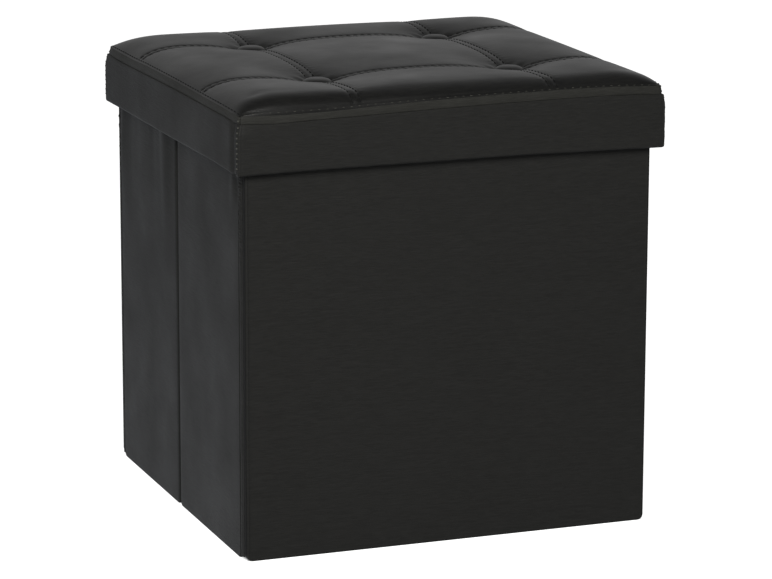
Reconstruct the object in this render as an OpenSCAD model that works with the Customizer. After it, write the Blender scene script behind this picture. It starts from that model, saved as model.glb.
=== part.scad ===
// Folding storage ottoman: a padded lift-off lid on a shell of six wall panels
// that stand round a loose base board. The side walls are cut in halves, which
// fold inwards and bring the front wall back against the back wall.
// Millimetres, +Z up, front towards -Y, origin on the floor under the middle.

/* [Shell] */
// Width over the two side walls
body_w = 364; // [364:1:420]
// Depth over the front and back walls
body_d = 360; // [300:1:360]
// Height of the walls
wall_h = 361; // [250:1:480]
// Thickness of the fibreboard in each wall
board_t = 6; // [4:0.5:9]
// Thickness of the faux leather
cover_t = 1; // [0.6:0.1:1.6]
// Thickness of the non-woven lining
lining_t = 0.6; // [0.3:0.1:1.2]
// Radius of each wall panel's corners
panel_r = 5; // [2:0.5:8]
// How far a wall's lining stops short of the panel's edge
lining_margin = 2; // [1:0.5:5]

/* [Folds] */
// Gap between the two halves of a side wall
fold_gap = 3; // [2:0.5:6]
// How far the front and back walls' ends stand in from the sides
end_inset = 2; // [1:0.5:4]
// How far a corner's soft strip stands back from the front or back face
strip_setback = 1; // [0.5:0.5:3]
// Gap between a side wall's end and the front or back wall
corner_gap = 4.3; // [3:0.1:8]
// Room beside a hinge line, and between a corner's strip and the side wall
hinge_gap = 0.3; // [0.2:0.1:0.8]
// Thickness of the soft strips over the folds and corners
strip_t = 0.8; // [0.5:0.1:1.2]
// How far a soft strip stops short of the top and bottom
strip_margin = 3; // [2:0.5:10]

/* [Base] */
// Thickness of the hardboard base
base_t = 3; // [2:0.5:6]
// Thickness of the cloth over the base
base_cloth_t = 0.4; // [0.3:0.1:1]
// Gap between the base and each side wall
base_side_gap = 15; // [8:1:30]
// Gap between the base and the front and back walls
base_end_gap = 0.5; // [0.3:0.1:2]
// Width of the ribbon pull tab
tab_w = 25; // [15:1:40]
// Length of the ribbon pull tab
tab_l = 48; // [30:1:80]
// Thickness of the ribbon pull tab
tab_t = 1; // [0.6:0.1:2]

/* [Lid] */
// Room between the lid's skirt and the walls
skirt_clear = 2.4; // [1.5:0.1:6]
// Thickness of the skirt boards
skirt_board_t = 4.2; // [3.6:0.2:8]
// How far the skirt hangs below the top of the walls
skirt_drop = 31; // [20:1:60]
// Gap between the walls and the lid's lining
lid_seat_gap = 0.3; // [0.2:0.1:0.6]
// Thickness of the lid board
lid_board_t = 10; // [8:0.5:16]

/* [Cushion] */
// Height of the upright band round the cushion
band_h = 8; // [5:0.5:20]
// How far the band stands in from the skirt
band_inset = 1; // [0:0.5:4]
// Height of the cushion's crown above its band
crown_h = 17.5; // [12:0.5:30]
// Radius of the crown's edges, at most the crown's height
crown_r = 17; // [8:0.5:24]
// Room between the foam and its cover
foam_gap = 0.1; // [0.05:0.05:0.3]

/* [Tufting] */
// Distance between buttons from left to right
button_pitch_x = 174; // [120:2:220]
// Distance between buttons from front to back
button_pitch_y = 174; // [120:2:220]
// Diameter of a covered button
button_d = 24; // [16:1:32]
// Height of a covered button
button_h = 6.5; // [5:0.5:12]
// Gap between a button and the cover under it
button_gap = 0.05; // [0.03:0.01:0.1]
// Depth of the dimple under a button
dimple_depth = 12; // [4:0.5:15]
// Radius of the dimple's round hollow
dimple_r = 50; // [30:1:80]
// Depth of the sewn channels
channel_depth = 2.5; // [1:0.5:5]
// Radius of the sewn channels' round hollow
channel_r = 12; // [8:1:20]
// Diameter of the tufting twine
twine_d = 1.6; // [1:0.2:2.4]
// Room round the twine in each piece that it passes through
twine_clear = 0.4; // [0.2:0.1:1]
// Diameter of the knot under a washer
knot_d = 3.6; // [3.2:0.2:5]
// Diameter of a twine washer
washer_d = 14; // [10:1:20]
// Thickness of a twine washer
washer_t = 1.2; // [0.8:0.1:2]
// Room round a washer in its recess
washer_clear = 1; // [0.5:0.5:3]

/* [Staples] */
// Staples along each side of the skirt
staple_count = 4; // [2:1:8]
// Width of a staple
staple_w = 10; // [6:1:14]
// Height of a staple's wire
staple_wire = 1.2; // [0.8:0.1:1.6]
// Thickness of a staple's wire
staple_t = 0.5; // [0.4:0.1:0.8]
// Length of a staple's legs
staple_leg = 3.4; // [2:0.2:4]
// Room round a staple's leg
staple_clear = 0.05; // [0.02:0.01:0.1]
// How far the staples sit above the skirt's lower edge
staple_z = 12; // [6:1:16]

/* [Hidden] */
$fn = 96;

vinyl_black = [0.17, 0.17, 0.16];
cloth_black = [0.10, 0.10, 0.10];
board_brown = [0.62, 0.47, 0.33];
foam_cream = [0.90, 0.86, 0.72];
steel_grey = [0.70, 0.71, 0.73];
twine_white = [0.85, 0.83, 0.78];

// A cut starts and ends this far outside what it cuts
eps = 1;

// Walls. The side walls' ends stand behind the front and back walls. A corner
// turns on an upright line where the two walls' inner sides meet, hinge_gap off
// the side wall. A side wall's halves turn on a line over the gap between them,
// hinge_gap outside their outer sides.
wall_t = cover_t + board_t + lining_t;
front_len = body_w - 2 * end_inset;
side_end = body_d / 2 - wall_t - corner_gap;
half_len = side_end - fold_gap / 2;
half_mid = (side_end + fold_gap / 2) / 2;

// Base
base_w = body_w - 2 * wall_t - 2 * base_side_gap;
base_d = body_d - 2 * wall_t - 2 * base_end_gap;
base_top = base_t + base_cloth_t;

// Lid
lid_rim = skirt_clear + lining_t + skirt_board_t + cover_t;
lid_w = body_w + 2 * lid_rim;
lid_d = body_d + 2 * lid_rim;
lid_core_w = lid_w - 2 * cover_t;
lid_core_d = lid_d - 2 * cover_t;
lid_hollow_w = body_w + 2 * skirt_clear;
lid_hollow_d = body_d + 2 * skirt_clear;
skirt_z = wall_h - skirt_drop;
lid_under = wall_h + lid_seat_gap;
lid_board_z = lid_under + lining_t;
lid_top = lid_board_z + lid_board_t;

// Cushion
band_w = lid_w - 2 * band_inset;
band_d = lid_d - 2 * band_inset;
band_top = lid_top + band_h;
crown_top = band_top + crown_h;
crown_edge_r = min(crown_r, crown_h);
dimple_z = crown_top - dimple_depth;
twine_hole_d = twine_d + 2 * twine_clear;

// Buttons: a shallow cap with an underside that follows the dimple
rim_rise = dimple_r - sqrt(pow(dimple_r, 2) - pow(button_d / 2, 2));
cap_h = button_h - rim_rise;
cap_r = (pow(button_d / 2, 2) + pow(cap_h, 2)) / (2 * cap_h);
recess_d = washer_d + 2 * washer_clear;
recess_h = washer_t + knot_d + washer_clear;
washer_z = lid_board_z + recess_h - washer_t;
knot_z = washer_z - knot_d / 2 - button_gap;

// ---------------------------------------------------------------- helpers

// A box with its middle over x and y, standing on z
module block(w, d, h, z) {
    translate([-w / 2, -d / 2, z]) cube([w, d, h]);
}

// A wall plate in the XZ plane with round corners, its outer side at y = y0
module plate(w, h, t, r, y0, z0) {
    translate([0, y0 + t, z0]) rotate([90, 0, 0]) linear_extrude(t) {
        translate([-w / 2 + r, 0]) square([w - 2 * r, h]);
        translate([-w / 2, r]) square([w, h - 2 * r]);
        for (x = [-w / 2 + r, w / 2 - r], z = [r, h - r]) translate([x, z]) circle(r);
    }
}

// Places for a wall whose outer side is drawn on y = 0, facing -Y
module at_front() {
    translate([0, -body_d / 2, 0]) children();
}

module at_back() {
    rotate([0, 0, 180]) at_front() children();
}

module at_left(y) {
    translate([-body_w / 2, y, 0]) rotate([0, 0, -90]) children();
}

module at_right(y) {
    rotate([0, 0, 180]) at_left(-y) children();
}

module at_buttons() {
    for (x = [-1, 1], y = [-1, 1]) {
        translate([x * button_pitch_x / 2, y * button_pitch_y / 2, 0]) children();
    }
}

// ------------------------------------------------------------------ walls

// Fibreboard of a wall, inside its cover
module wall_board(len) {
    color(board_brown)
        plate(len - 2 * cover_t, wall_h - 2 * cover_t, board_t, panel_r - cover_t, cover_t, cover_t);
}

// Faux leather over a wall's outer side and round its edges
module wall_cover(len) {
    color(vinyl_black) difference() {
        plate(len, wall_h, cover_t + board_t, panel_r, 0, 0);
        plate(len - 2 * cover_t, wall_h - 2 * cover_t, board_t + eps, panel_r - cover_t, cover_t, cover_t);
    }
}

// Lining over a wall's inner side
module wall_lining(len) {
    color(cloth_black)
        plate(len - 2 * lining_margin, wall_h - 2 * lining_margin, lining_t, panel_r,
              cover_t + board_t, lining_margin);
}

module back_board() { at_back() wall_board(front_len); }
module back_cover() { at_back() wall_cover(front_len); }
module back_lining() { at_back() wall_lining(front_len); }
module front_board() { at_front() wall_board(front_len); }
module front_cover() { at_front() wall_cover(front_len); }
module front_lining() { at_front() wall_lining(front_len); }
module left_rear_board() { at_left(half_mid) wall_board(half_len); }
module left_rear_cover() { at_left(half_mid) wall_cover(half_len); }
module left_rear_lining() { at_left(half_mid) wall_lining(half_len); }
module left_front_board() { at_left(-half_mid) wall_board(half_len); }
module left_front_cover() { at_left(-half_mid) wall_cover(half_len); }
module left_front_lining() { at_left(-half_mid) wall_lining(half_len); }
module right_rear_board() { at_right(half_mid) wall_board(half_len); }
module right_rear_cover() { at_right(half_mid) wall_cover(half_len); }
module right_rear_lining() { at_right(half_mid) wall_lining(half_len); }
module right_front_board() { at_right(-half_mid) wall_board(half_len); }
module right_front_cover() { at_right(-half_mid) wall_cover(half_len); }
module right_front_lining() { at_right(-half_mid) wall_lining(half_len); }

// Soft strip set into the gap between the halves of a side wall
module fold_strip() {
    color(vinyl_black)
        translate([-fold_gap / 2, strip_t, strip_margin])
            cube([fold_gap, strip_t, wall_h - 2 * strip_margin]);
}

module left_fold_strip() { at_left(0) fold_strip(); }
module right_fold_strip() { at_right(0) fold_strip(); }

// Soft strip on an end of the front or back wall, down to the side wall behind it
module gusset() {
    color(vinyl_black)
        translate([-front_len / 2 - strip_t, strip_setback - body_d / 2, strip_margin])
            cube([strip_t, body_d / 2 - strip_setback - side_end - hinge_gap, wall_h - 2 * strip_margin]);
}

module left_front_gusset() { gusset(); }
module right_front_gusset() { mirror([1, 0, 0]) gusset(); }
module left_rear_gusset() { mirror([0, 1, 0]) gusset(); }
module right_rear_gusset() { rotate([0, 0, 180]) gusset(); }

// ------------------------------------------------------------------- base

// Hardboard that keeps the walls apart
module base_board() {
    color(board_brown)
        block(base_w - 2 * base_cloth_t, base_d - 2 * base_cloth_t, base_t, 0);
}

// Cloth over the top and edges of the base
module base_cloth() {
    color(cloth_black) difference() {
        block(base_w, base_d, base_top, 0);
        block(base_w - 2 * base_cloth_t, base_d - 2 * base_cloth_t, base_t + eps, -eps);
    }
}

// Ribbon for lifting the base out, flat on it behind the front wall
module pull_tab() {
    color(cloth_black) translate([0, -base_d / 2 + lining_margin, base_top]) {
        translate([-tab_w / 2, 0, 0]) cube([tab_w, tab_l - tab_w / 2, tab_t]);
        translate([0, tab_l - tab_w / 2, 0]) cylinder(h = tab_t, d = tab_w);
    }
}

// -------------------------------------------------------------------- lid

module lid_board() {
    color(board_brown) difference() {
        block(lid_core_w, lid_core_d, lid_board_t, lid_board_z);
        at_buttons() translate([0, 0, lid_board_z - eps]) {
            cylinder(h = lid_board_t + 2 * eps, d = twine_hole_d);
            cylinder(h = recess_h + eps, d = recess_d);
        }
    }
}

// Staple legs in the +Y side of the skirt, grown by a clearance
module staple_legs(side_d, span, grow) {
    for (i = [1 : staple_count], s = [-1, 1]) {
        translate([
            (i / (staple_count + 1) - 1 / 2) * span + s * (staple_w - staple_t) / 2 - staple_t / 2 - grow,
            side_d / 2 - grow,
            skirt_z + staple_z - grow
        ]) cube([staple_t + 2 * grow, staple_leg + 2 * grow, staple_wire + 2 * grow]);
    }
}

// Staple crowns on the +Y side of the skirt
module staple_crowns(side_d, span) {
    for (i = [1 : staple_count]) {
        translate([
            (i / (staple_count + 1) - 1 / 2) * span - staple_w / 2,
            side_d / 2 - staple_t,
            skirt_z + staple_z
        ]) cube([staple_w, staple_t, staple_wire]);
    }
}

// Every staple leg, grown by a clearance
module all_legs(grow) {
    for (a = [0, 180]) {
        rotate([0, 0, a]) staple_legs(lid_hollow_d, body_w, grow);
        rotate([0, 0, a + 90]) staple_legs(lid_hollow_w, body_d, grow);
    }
}

// The front and back boards run the full width and the side boards fit between
module skirt_board_back() {
    color(board_brown) difference() {
        translate([-lid_core_w / 2, lid_hollow_d / 2 + lining_t, skirt_z + cover_t])
            cube([lid_core_w, skirt_board_t, lid_board_z - skirt_z - cover_t]);
        all_legs(staple_clear);
    }
}

module skirt_board_front() { rotate([0, 0, 180]) skirt_board_back(); }

module skirt_board_right() {
    color(board_brown) difference() {
        translate([lid_hollow_w / 2 + lining_t, -lid_hollow_d / 2 - lining_t, skirt_z + cover_t])
            cube([skirt_board_t, lid_hollow_d + 2 * lining_t, lid_board_z - skirt_z - cover_t]);
        all_legs(staple_clear);
    }
}

module skirt_board_left() { rotate([0, 0, 180]) skirt_board_right(); }

// Faux leather round the skirt boards and under their lower edges
module skirt_cover() {
    color(vinyl_black) difference() {
        block(lid_w, lid_d, lid_top - skirt_z, skirt_z);
        block(lid_core_w, lid_core_d, lid_top - skirt_z, skirt_z + cover_t);
        block(lid_hollow_w, lid_hollow_d, lid_top - skirt_z, skirt_z - eps);
    }
}

// Lining inside the skirt and under the lid board
module skirt_lining() {
    color(cloth_black) difference() {
        block(lid_hollow_w + 2 * lining_t, lid_hollow_d + 2 * lining_t,
              lid_board_z - skirt_z - cover_t, skirt_z + cover_t);
        block(lid_hollow_w, lid_hollow_d, lid_under - skirt_z, skirt_z);
        all_legs(staple_clear);
    }
}

// Staples that hold the cover and lining to the skirt boards
module skirt_staples() {
    color(steel_grey) {
        all_legs(0);
        for (a = [0, 180]) {
            rotate([0, 0, a]) staple_crowns(lid_hollow_d, body_w);
            rotate([0, 0, a + 90]) staple_crowns(lid_hollow_w, body_d);
        }
    }
}

// ---------------------------------------------------------------- cushion

// Bar along X with a flat foot and round upper edges, skin inside the cover's face
module rounded_bar(len, depth, skin) {
    r = crown_edge_r - skin;
    side = depth / 2 - skin;
    rotate([90, 0, 90]) translate([0, 0, -len / 2]) linear_extrude(len) {
        translate([-side, 0]) square([2 * side, crown_top - crown_edge_r]);
        translate([-side + r, 0]) square([2 * (side - r), crown_top - skin]);
        for (s = [-1, 1]) translate([s * (side - r), crown_top - crown_edge_r]) circle(r);
    }
}

// Crowned cushion with dimples and sewn channels, skin inside the cover's face
module cushion_form(skin, foot) {
    difference() {
        intersection() {
            rounded_bar(2 * lid_w, band_d, skin);
            rotate([0, 0, 90]) rounded_bar(2 * lid_d, band_w, skin);
            block(lid_w, lid_d, crown_top, foot);
        }
        at_buttons() translate([0, 0, dimple_z + dimple_r]) sphere(dimple_r + skin);
        for (y = [-1, 1]) {
            translate([0, y * button_pitch_y / 2, crown_top - channel_depth + channel_r])
                rotate([0, 90, 0]) cylinder(h = 2 * lid_w, r = channel_r + skin, center = true);
        }
        for (x = [-1, 1]) {
            translate([x * button_pitch_x / 2, 0, crown_top - channel_depth + channel_r])
                rotate([90, 0, 0]) cylinder(h = 2 * lid_d, r = channel_r + skin, center = true);
        }
    }
}

// Straight holes for the twine
module twine_holes() {
    at_buttons() translate([0, 0, lid_top - eps]) cylinder(h = crown_top - lid_top, d = twine_hole_d);
}

module cushion_foam() {
    color(foam_cream) difference() {
        cushion_form(cover_t + foam_gap, lid_top);
        twine_holes();
    }
}

// Upright faux leather band between the lid board and the cushion's top
module cushion_band() {
    color(vinyl_black) difference() {
        block(band_w, band_d, band_h, lid_top);
        block(band_w - 2 * cover_t, band_d - 2 * cover_t, band_h + 2 * eps, lid_top - eps);
    }
}

// Quilted faux leather top, sewn to the band
module cushion_top() {
    color(vinyl_black) difference() {
        cushion_form(0, band_top);
        cushion_form(cover_t, lid_top);
        twine_holes();
    }
}

// ---------------------------------------------------------------- tufting

module tufting_buttons() {
    color(vinyl_black) at_buttons() intersection() {
        translate([0, 0, dimple_z + dimple_r]) sphere(dimple_r - button_gap);
        translate([0, 0, dimple_z + button_h - cap_r]) sphere(cap_r);
    }
}

// Twine from each button down through the lid, with its knot
module button_twine() {
    color(twine_white) at_buttons() {
        translate([0, 0, knot_z]) cylinder(h = dimple_z - knot_z, d = twine_d);
        translate([0, 0, knot_z]) sphere(d = knot_d);
    }
}

module twine_washers() {
    color(steel_grey) at_buttons() translate([0, 0, washer_z]) difference() {
        cylinder(h = washer_t, d = washer_d);
        translate([0, 0, -eps]) cylinder(h = washer_t + 2 * eps, d = twine_hole_d);
    }
}

base_board();
base_cloth();
pull_tab();
back_board();
back_cover();
back_lining();
front_board();
front_cover();
front_lining();
left_rear_board();
left_rear_cover();
left_rear_lining();
left_front_board();
left_front_cover();
left_front_lining();
right_rear_board();
right_rear_cover();
right_rear_lining();
right_front_board();
right_front_cover();
right_front_lining();
left_fold_strip();
right_fold_strip();
left_front_gusset();
right_front_gusset();
left_rear_gusset();
right_rear_gusset();
lid_board();
skirt_board_front();
skirt_board_back();
skirt_board_left();
skirt_board_right();
skirt_cover();
skirt_lining();
skirt_staples();
cushion_foam();
cushion_band();
cushion_top();
tufting_buttons();
button_twine();
twine_washers();
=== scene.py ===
"""Looks of a folding storage ottoman: stage, finishes, padded lid, folding walls and base.

Sizes are in millimetres until a mesh is written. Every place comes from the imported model.
"""

import logging
import math
from collections.abc import Callable, Iterator, Sequence
from contextlib import contextmanager
from dataclasses import dataclass, field
from enum import Enum

import bpy
import numpy as np
from mathutils import Matrix, Quaternion, Vector
from mathutils.kdtree import KDTree


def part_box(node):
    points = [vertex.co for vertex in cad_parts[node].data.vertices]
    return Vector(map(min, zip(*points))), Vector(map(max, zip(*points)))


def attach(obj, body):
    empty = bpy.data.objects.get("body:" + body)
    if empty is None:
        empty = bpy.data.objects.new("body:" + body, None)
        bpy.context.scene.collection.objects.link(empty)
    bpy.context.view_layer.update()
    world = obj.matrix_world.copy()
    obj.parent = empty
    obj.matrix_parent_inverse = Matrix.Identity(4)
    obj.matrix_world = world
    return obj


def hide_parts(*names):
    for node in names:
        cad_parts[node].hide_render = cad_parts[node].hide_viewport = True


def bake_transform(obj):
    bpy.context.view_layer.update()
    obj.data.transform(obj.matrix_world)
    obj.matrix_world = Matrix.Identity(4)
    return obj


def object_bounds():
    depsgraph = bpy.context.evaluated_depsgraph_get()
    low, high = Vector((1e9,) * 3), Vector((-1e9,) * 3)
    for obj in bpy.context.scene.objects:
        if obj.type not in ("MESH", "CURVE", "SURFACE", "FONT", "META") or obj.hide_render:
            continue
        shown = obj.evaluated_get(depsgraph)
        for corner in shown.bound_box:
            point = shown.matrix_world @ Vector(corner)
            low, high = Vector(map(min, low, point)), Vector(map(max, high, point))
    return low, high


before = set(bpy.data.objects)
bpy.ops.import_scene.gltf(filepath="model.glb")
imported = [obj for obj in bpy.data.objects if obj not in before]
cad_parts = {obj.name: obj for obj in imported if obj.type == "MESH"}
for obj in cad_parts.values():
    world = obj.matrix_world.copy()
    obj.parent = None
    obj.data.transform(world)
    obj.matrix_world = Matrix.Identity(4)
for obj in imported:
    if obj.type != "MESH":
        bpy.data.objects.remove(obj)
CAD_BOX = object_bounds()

MM = 0.001
# Places closer than this are the same one (mm).
SAME_PLACE = 0.01
# A direction runs along an axis if its part along it is over UPRIGHT, and across it if under LEVEL.
UPRIGHT = 0.9
LEVEL = 0.1
log = logging.getLogger("ottoman")
Array = np.ndarray
Piece = bpy.types.Object
Material = bpy.types.Material
Tree = bpy.types.NodeTree
Socket = bpy.types.NodeSocket
Test = Callable[[Vector, Vector], bool]


# ---- mesh tools


class Element(Enum):
    """What an edit selects."""

    VERTEX = "VERT"
    EDGE = "EDGE"
    FACE = "FACE"


def mm(*values: float) -> tuple[float, ...]:
    """Millimetres as a tuple of metres."""
    return tuple(value * MM for value in values)


def box_mm(node: str) -> tuple[Array, Array]:
    """Lowest and highest corner of a CAD node, in millimetres."""
    low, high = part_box(node)
    return np.array(low) / MM, np.array(high) / MM


def take(*pieces: Piece) -> None:
    """Makes these the only selected pieces, and the last one active."""
    bpy.ops.object.select_all(action="DESELECT")
    for piece in pieces:
        piece.select_set(True)
    bpy.context.view_layer.objects.active = pieces[-1]


@contextmanager
def editing(piece: Piece, kind: Element = Element.FACE) -> Iterator[None]:
    """Opens a piece in edit mode, and puts it back in object mode at the end.

    Args:
        piece: The piece to edit.
        kind: Whether it selects vertices, edges or faces.
    """
    take(piece)
    order = (Element.VERTEX, Element.EDGE, Element.FACE)
    bpy.context.tool_settings.mesh_select_mode = tuple(kind is element for element in order)
    bpy.ops.object.mode_set(mode="EDIT")
    try:
        yield
    finally:
        bpy.ops.object.mode_set(mode="OBJECT")


def pick(piece: Piece, kind: Element, test: Test) -> None:
    """Selects edges or faces by their middle and by their direction or normal.

    Args:
        piece: A piece in object mode.
        kind: EDGE or FACE.
        test: Takes the middle, in metres, and the edge's direction or the face's normal.
    """
    mesh = piece.data
    for group in (mesh.vertices, mesh.edges, mesh.polygons):
        group.foreach_set("select", [False] * len(group))
    if kind is Element.FACE:
        for face in mesh.polygons:
            face.select = bool(test(face.center, face.normal))
        return
    for edge in mesh.edges:
        start, end = (mesh.vertices[index].co for index in edge.vertices)
        edge.select = bool(test((start + end) / 2, (end - start).normalized()))


def round_edges(piece: Piece, test: Test, radius: float, segments: int) -> None:
    """Bevels some of a piece's edges.

    Args:
        piece: The piece to round.
        test: Picks the edges by their middle and direction.
        radius: How far the bevel reaches, in millimetres.
        segments: How many faces it has across.
    """
    pick(piece, Element.EDGE, test)
    with editing(piece, Element.EDGE):
        bpy.ops.mesh.bevel(offset=radius * MM, segments=segments, affect="EDGES")


def open_side(piece: Piece, test: Test) -> None:
    """Deletes the faces that a test picks by their middle and normal."""
    pick(piece, Element.FACE, test)
    with editing(piece):
        bpy.ops.mesh.delete(type="FACE")


def points(piece: Piece) -> Array:
    """A piece's vertices as an array of rows x, y, z in millimetres."""
    found = np.empty(len(piece.data.vertices) * 3)
    piece.data.vertices.foreach_get("co", found)
    return found.reshape(-1, 3) / MM


def set_points(piece: Piece, places: Array) -> None:
    """Writes a piece's vertices from an array in millimetres."""
    piece.data.vertices.foreach_set("co", (places * MM).ravel())
    piece.data.update()


def apply_modifier(piece: Piece, kind: str, **settings: object) -> None:
    """Adds a modifier, gives it its settings and applies it.

    Args:
        piece: The piece to change.
        kind: The modifier's type.
        settings: The modifier's own settings.
    """
    take(piece)
    modifier = piece.modifiers.new(kind.title(), kind)
    for name, value in settings.items():
        setattr(modifier, name, value)
    bpy.ops.object.modifier_apply(modifier=modifier.name)


def settle(piece: Piece) -> None:
    """Applies a piece's place, turn and scale to its mesh."""
    take(piece)
    bpy.ops.object.transform_apply(location=True, rotation=True, scale=True)


def smooth(piece: Piece, angle: float = 40.0) -> None:
    """Shades a piece smooth, apart from edges sharper than an angle in degrees."""
    take(piece)
    bpy.ops.object.shade_smooth_by_angle(angle=math.radians(angle))


def turn_over(piece: Piece) -> None:
    """Turns all of a piece's faces the other way."""
    with editing(piece):
        bpy.ops.mesh.select_all(action="SELECT")
        bpy.ops.mesh.flip_normals()


def pick_rim() -> None:
    """Selects the open rim of the piece in edit mode, and nothing else of it."""
    bpy.ops.mesh.select_all(action="DESELECT")
    bpy.ops.mesh.select_non_manifold()


def start_from(add: Callable[..., set[str]], name: str, **settings: object) -> Piece:
    """Adds a primitive with nothing else selected.

    Args:
        add: The operator that adds it.
        name: The piece's name.
        settings: The operator's own settings.

    Returns:
        The new piece.
    """
    bpy.ops.object.select_all(action="DESELECT")
    add(**settings)
    piece = bpy.context.object
    piece.name = name
    return piece


def solid_block(name: str, size: Sequence[float], middle: Sequence[float]) -> Piece:
    """Starts a piece from a cube primitive, stretched to its size.

    Args:
        name: The piece's name.
        size: Its sizes along x, y and z, in millimetres.
        middle: The place of its middle, in millimetres.

    Returns:
        The block, with its size and place in its mesh.
    """
    add = bpy.ops.mesh.primitive_cube_add
    block = start_from(add, name, size=1, location=mm(*middle), scale=mm(*size))
    settle(block)
    return block


def cut_across(piece: Piece, axis: int, places: Sequence[float]) -> None:
    """Bisects a whole piece square to one axis.

    Args:
        piece: The piece to cut.
        axis: 0, 1 or 2 for x, y or z.
        places: Where each cut lies along the axis, in millimetres.
    """
    normal = [float(index == axis) for index in range(3)]
    with editing(piece):
        for place in places:
            bpy.ops.mesh.select_all(action="SELECT")
            bpy.ops.mesh.bisect(plane_co=[place * MM * part for part in normal], plane_no=normal)


def grid_piece(name: str, places: Array, closed: bool = False) -> Piece:
    """Makes a surface from a grid primitive whose vertices are moved to their places.

    Args:
        name: The piece's name.
        places: Rows by columns by x, y, z, in millimetres.
        closed: Whether the last column meets the first and is merged with it.

    Returns:
        The surface, with its faces turned towards row cross column.
    """
    rows, columns = places.shape[:2]
    add = bpy.ops.mesh.primitive_grid_add
    piece = start_from(add, name, x_subdivisions=columns - 1, y_subdivisions=rows - 1, size=1)
    start = points(piece) * MM
    column = np.rint((start[:, 0] + 0.5) * (columns - 1)).astype(int)
    row = np.rint((start[:, 1] + 0.5) * (rows - 1)).astype(int)
    set_points(piece, places[row, column])
    if closed:
        with editing(piece, Element.VERTEX):
            bpy.ops.mesh.select_all(action="SELECT")
            bpy.ops.mesh.remove_doubles(threshold=2 * SAME_PLACE * MM)
    return piece


def thicken(piece: Piece, thickness: float) -> None:
    """Gives a surface its thickness in millimetres, all of it behind the surface."""
    apply_modifier(piece, "SOLIDIFY", thickness=thickness * MM, offset=-1.0, use_even_offset=False)


def repeat(name: str, template: Piece, places: Sequence[Matrix]) -> Piece:
    """Joins copies of a small piece into one, and removes the small piece.

    Args:
        name: The name of the joined piece.
        template: The small piece, modelled round the origin.
        places: One matrix for each copy, in metres.

    Returns:
        The joined piece.
    """
    corners = points(template) * MM
    faces = [tuple(face.vertices) for face in template.data.polygons]
    moved = [corners @ np.array(place.to_3x3()).T + np.array(place.translation) for place in places]
    mesh = bpy.data.meshes.new(name)
    mesh.from_pydata(
        np.concatenate(moved).tolist(),
        [],
        [[index + copy * len(corners) for index in face] for copy in range(len(places)) for face in faces],
    )
    bpy.data.objects.remove(template)
    joined = bpy.data.objects.new(name, mesh)
    bpy.context.scene.collection.objects.link(joined)
    smooth(joined, 60.0)
    return joined


def bump(distance: Array, width: float) -> Array:
    """A smooth bell of height 1 over a distance."""
    return np.exp(-((distance / width) ** 2))


def ease(value: Array | float, low: float, high: float) -> Array:
    """A smooth step.

    Args:
        value: Where along the step.
        low: Where it starts, at 0.
        high: Where it ends, at 1.

    Returns:
        The step's height, from 0 to 1.
    """
    share = np.clip((value - low) / (high - low), 0, 1)
    return share * share * (3 - 2 * share)


def ripple(place: Array, pitch: float, seed: int) -> Array:
    """A gentle irregular wave, the same at each run.

    Args:
        place: Distances along it.
        pitch: The distance from crest to crest of its main wave.
        seed: Chooses where its waves start.

    Returns:
        Its height at each place, between -1 and 1.
    """
    phases = np.random.default_rng(seed).uniform(0, 2 * math.pi, 4)
    rates = (1.0, 0.61, 1.73, 0.37)
    waves = [np.sin(2 * math.pi * place * rate / pitch + phase) for rate, phase in zip(rates, phases)]
    return sum(waves) / len(waves)


# ---- finishes


def linear(code: str) -> tuple[float, float, float, float]:
    """Turns an sRGB value to linear light.

    Args:
        code: Red, green and blue in hex, such as #202020.

    Returns:
        Linear red, green, blue and an alpha of 1.
    """
    toe, slope, shift, gamma = 0.04045, 12.92, 0.055, 2.4
    parts = [int(code[start : start + 2], 16) / 255 for start in (1, 3, 5)]
    lights = (part / slope if part <= toe else ((part + shift) / (1 + shift)) ** gamma for part in parts)
    return (*lights, 1.0)


def add_node(tree: Tree, kind: str, inputs: dict | None = None, **settings: object) -> bpy.types.Node:
    """Adds a node with its settings, and links or sets its inputs.

    Args:
        tree: The tree to add to.
        kind: The node's type.
        inputs: Values by the input's name or number. An output socket is linked.
        settings: The node's own settings.

    Returns:
        The new node.
    """
    node = tree.nodes.new(kind)
    for name, value in settings.items():
        setattr(node, name, value)
    for name, value in (inputs or {}).items():
        if isinstance(value, Socket):
            tree.links.new(value, node.inputs[name])
        else:
            node.inputs[name].default_value = value
    return node


def new_material(name: str) -> tuple[Material, Tree]:
    """An empty node material and its tree."""
    material = bpy.data.materials.new(name)
    material.use_nodes = True
    material.node_tree.nodes.clear()
    return material, material.node_tree


def pattern(tree: Tree, sizes: Sequence[float]) -> dict:
    """The inputs of a texture that follows Object coordinates.

    Args:
        tree: The tree to add to.
        sizes: The pattern's sizes along x, y and z, in millimetres. Each is one unit of the texture.

    Returns:
        The coordinates and a scale of 1, by the inputs' names.
    """
    place = add_node(tree, "ShaderNodeTexCoord").outputs["Object"]
    scale = tuple(1 / (size * MM) for size in sizes)
    turned = add_node(tree, "ShaderNodeMapping", {"Vector": place, "Scale": scale})
    return {"Vector": turned.outputs["Vector"], "Scale": 1.0}


def two_tone(tree: Tree, factor: Socket, dark: str, light: str) -> Socket:
    """A colour between two.

    Args:
        tree: The tree to add to.
        factor: 0 for the dark colour and 1 for the light one.
        dark: The first colour in hex.
        light: The second colour in hex.

    Returns:
        The mixed colour.
    """
    mix = add_node(tree, "ShaderNodeMix", {0: factor}, data_type="RGBA")
    mix.inputs["A"].default_value = linear(dark)
    mix.inputs["B"].default_value = linear(light)
    return mix.outputs["Result"]


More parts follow.
